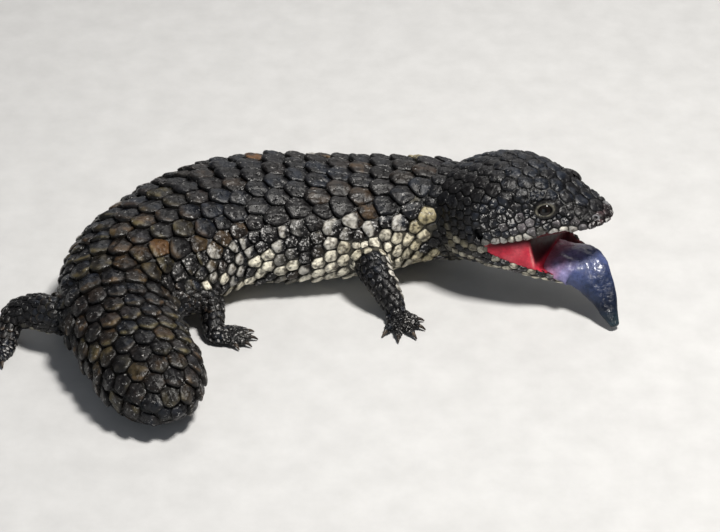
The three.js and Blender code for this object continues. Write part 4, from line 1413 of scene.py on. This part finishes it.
def eye_pieces(materials):
    pieces = []
    for side, hand in SIDES:
        name = hand + "_eye"
        centre, axis = mirrored(EYE["at"], side), mirrored(EYE["axis"], side)
        radius = EYE["radius"]
        profile = [(radius * math.sin(t), radius * math.cos(t)) for t in np.linspace(0.02, np.pi - 0.02, 30)]
        verts, faces = lathe(centre, axis, profile, 40)
        eye = make_object(name.title(), verts, faces, materials["eye"])
        away = np.linalg.norm(np.cross(to_head(verts) - centre, unit(axis)), axis=1)
        iris = mix(IRIS, IRIS_RIM, smooth(1.7, 2.6, away))
        paint(eye, mix(PUPIL, iris, smooth(1.25, 1.5, away)))
        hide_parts(name)
        pieces += [eye, lid_piece(side, hand, centre, axis, materials["hide"])]
    return pieces


def lid_piece(side, hand, centre, axis, material):
    """Both eyelids: a pale granular rim that rests on the eyeball and runs down into the skin."""
    around = 64
    wide, tall = EYE["opening"]
    inner = math.sqrt(EYE["radius"] ** 2 - wide ** 2)
    share, lift, dark = LID_PROFILE.T
    profile = np.stack([wide * share, inner + lift], 1)
    verts, faces = lathe(centre, axis, profile, around, tall / wide)
    rough = noise(verts, 0.7, 61)[:, None] * 0.14
    verts = verts + rough * unit(verts - from_head(centre))
    lids = make_object("Lids_" + hand, verts, faces, material)
    base = mix(LID, LID_SHADE, smooth(-0.2, 0.5, noise(verts, 0.9, 62)))
    paint(lids, mix(base, BLACK, np.repeat(dark, around)))
    chart_piece(lids, head_chart(-EYE["at"][0], side))
    return lids


def nostril_pieces(material):
    around = 28
    pieces = []
    share, lift, dark = NOSTRIL_PROFILE.T
    profile = np.stack([NOSTRIL["radius"] * share, lift], 1)
    for side, name in SIDES:
        centre, axis = mirrored(NOSTRIL["at"], side), mirrored(NOSTRIL["axis"], side)
        verts, faces = lathe(centre, axis, profile, around, 0.85)
        rim = make_object("Nostril_" + name, verts, faces, material)
        paint(rim, mix(np.tile(ASH * 0.6, (len(verts), 1)), BLACK * 0.2, np.repeat(dark, around)))
        chart_piece(rim, head_chart(-NOSTRIL["at"][0], side))
        pieces.append(rim)
    return pieces


def claw_pieces(material):
    pieces = []
    half = CLAW["radius"] * np.array([0.9, 0.6, 0.22])
    for name, limb in LIMBS.items():
        parts = []
        for _, claw in toe_paths(limb):
            parts.append(loft(14, 14, lambda u, v: tube_point(claw, half, half, eased(v, 0.4), u * CIRCLE)))
        verts, faces = joined(parts)
        verts[:, 2] = np.maximum(verts[:, 2], FLOOR_GAP)
        claws = make_object("Claws_" + name, verts, faces, material)
        paint(claws, mix(HORN, HORN_LIGHT, smooth(-0.5, 0.8, noise(verts, 2, 71))))
        pieces.append(claws)
    return pieces


# The tongue's colour from root to tip: share of the way, linear colour. The root's pink and violet are made
# lighter as painted light against the snout's shadow, and the teal at the tip is a painted glint.
TONGUE_COLOURS = (
    (0.26, (0.6, 0.07, 0.11)), (0.37, (0.42, 0.17, 0.26)), (0.46, (0.2, 0.18, 0.33)),
    (0.57, (0.055, 0.072, 0.17)), (0.7, (0.015, 0.024, 0.062)), (0.85, (0.004, 0.007, 0.018)),
    (1.0, (0.014, 0.026, 0.034)),
)


def tongue_piece(material):
    around, rings = 110, 170
    path, half, thick, roll, droop = TONGUE[:, :3], *TONGUE[:, 3:].T

    def place(u, v):
        w = eased(v, 0.6)
        turn = CIRCLE * u
        at = tube_point(path, half, thick, w, turn, 0.0, roll, droop)
        lumps = 0.5 * noise(at, 5.5, 81) + 0.34 * noise(at, 2.4, 83) + 0.2 * noise(at, 1.2, 84)
        groove = np.exp(-(np.sin(turn) / 0.16) ** 2) * (np.cos(turn) > 0)
        lift = lumps - 0.55 * groove * smooth(0.3, 0.5, w) * smooth(1.0, 0.85, w)
        return at + np.array([0, 0, 1.0]) * (lift * np.sin(np.pi * v))[..., None]
    verts, faces = loft(around, rings, place)
    tongue = make_object("Tongue", verts, faces, material)
    w = np.concatenate([[0], np.repeat(eased(np.arange(1, rings) / rings, 0.6), around), [1]])
    w = w + 0.03 * noise(verts, 5, 85)
    colour = np.array(TONGUE_COLOURS[0][1]) * np.ones((len(verts), 1))
    for (before, _), (at, shade) in zip(TONGUE_COLOURS, TONGUE_COLOURS[1:]):
        colour = mix(colour, np.array(shade), smooth(before, at, w))
    paint(tongue, colour * (1 + 0.3 * noise(verts, 1.6, 82))[:, None])
    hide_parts("tongue")
    return tongue


# The stage

CAMERA = {"elevation": 35, "distance": 1200, "aim": (0, -7, 0), "lens": 127.66}


def make_floor():
    size = 3.0
    mesh = bpy.data.meshes.new("Floor")
    corners = [(-size, -size, 0), (size, -size, 0), (size, size, 0), (-size, size, 0)]
    mesh.from_pydata(corners, [], [(0, 1, 2, 3)])
    mesh.materials.append(floor_material())
    floor = add_object("Floor", mesh)


def aim(thing, place, target):
    thing.location = place
    thing.rotation_euler = (Vector(target) - Vector(place)).to_track_quat("-Z", "Y").to_euler()


def make_light(name, place, size, watts, colour):
    data = bpy.data.lights.new(name, "AREA")
    data.size = size
    data.energy = watts
    data.color = colour
    aim(add_object(name, data), place, (0, 0, 0.02))


def make_lights():
    make_light("Key", (0.3, -0.15, 0.95), 0.18, 14.5, (1.0, 0.97, 0.92))
    make_light("Fill", (-0.5, -0.9, 0.35), 0.7, 1.5, (0.84, 0.92, 1.0))
    make_light("Rim", (0.1, 0.9, 0.6), 0.6, 2, (1.0, 0.98, 0.95))
    world = bpy.data.worlds.new("Studio")
    world.use_nodes = True
    background = world.node_tree.nodes["Background"]
    feed(world.node_tree, background, {"Color": (0.9, 0.93, 1.0, 1), "Strength": 0.13})
    bpy.context.scene.world = world


def make_camera():
    data = bpy.data.cameras.new("Camera")
    data.lens = CAMERA["lens"]
    data.sensor_width = 36
    data.sensor_fit = "HORIZONTAL"
    camera = add_object("Camera", data)
    target = (np.array(CAMERA["aim"]) + SHIFT) * MM
    up = math.radians(CAMERA["elevation"])
    place = target + np.array([0, -math.cos(up), math.sin(up)]) * CAMERA["distance"] * MM
    aim(camera, place, target)
    bpy.context.scene.camera = camera


FLESH = (
    "head", "lower_jaw", "neck", "chest", "belly", "loins", "hips", "tail",
    "right_upper_arm", "right_forearm", "right_hand", "left_upper_arm", "left_forearm", "left_hand",
    "right_thigh", "right_shin", "right_foot", "left_thigh", "left_shin", "left_foot",
)


def skin_and_mouth(materials):
    """The skin over the flesh, and the wet inside of the mouth that is cut from it."""
    skin = skin_mesh()
    carve_openings(skin.data)
    inside = in_mouth(vertices_of(skin.data), read_vertices(skin.data, "normal"))
    keep = [inside[face].all() for face in faces_of(skin.data)]
    skin, mouth = split_off(skin, keep, "Mouth", materials["mouth"])
    skin.data.materials[0] = materials["hide"]
    paint(skin, mark_and_shade(vertices_of(skin.data)) * SKIN_SHADE)
    paint(mouth, mouth_colour_and_shade(vertices_of(mouth.data)))
    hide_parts(*FLESH)
    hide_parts("mouth_lining")
    return skin, mouth


def build():
    materials = {
        "hide": hide_material(),
        "mouth": wet_material(
            "WetMouth", roughness=0.42, grain_size=500, relief=0.12, scatter=0.12, coat=0.05, shine=0.15,
        ),
        "tongue": wet_material(
            "WetTongue", roughness=0.34, grain_size=700, relief=0.7, scatter=0.04, coat=0.22, shine=0.3,
        ),
        "eye": eye_material(),
    }
    skin, mouth = skin_and_mouth(materials)
    coat = scale_coat(Skin(skin), materials["hide"])
    small = nostril_pieces(materials["hide"]) + claw_pieces(materials["hide"])
    pieces = [skin, mouth, tongue_piece(materials["tongue"])] + eye_pieces(materials) + coat + small
    for piece in pieces:
        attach(piece, "root")


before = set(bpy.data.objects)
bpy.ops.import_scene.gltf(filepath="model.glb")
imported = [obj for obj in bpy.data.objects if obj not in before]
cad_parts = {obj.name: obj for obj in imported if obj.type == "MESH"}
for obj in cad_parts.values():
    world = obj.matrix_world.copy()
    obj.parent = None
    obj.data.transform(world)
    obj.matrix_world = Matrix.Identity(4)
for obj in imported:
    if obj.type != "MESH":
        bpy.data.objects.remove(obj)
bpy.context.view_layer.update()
make_camera()
make_lights()
make_floor()
build()
bpy.context.scene.view_settings.view_transform = "Standard"
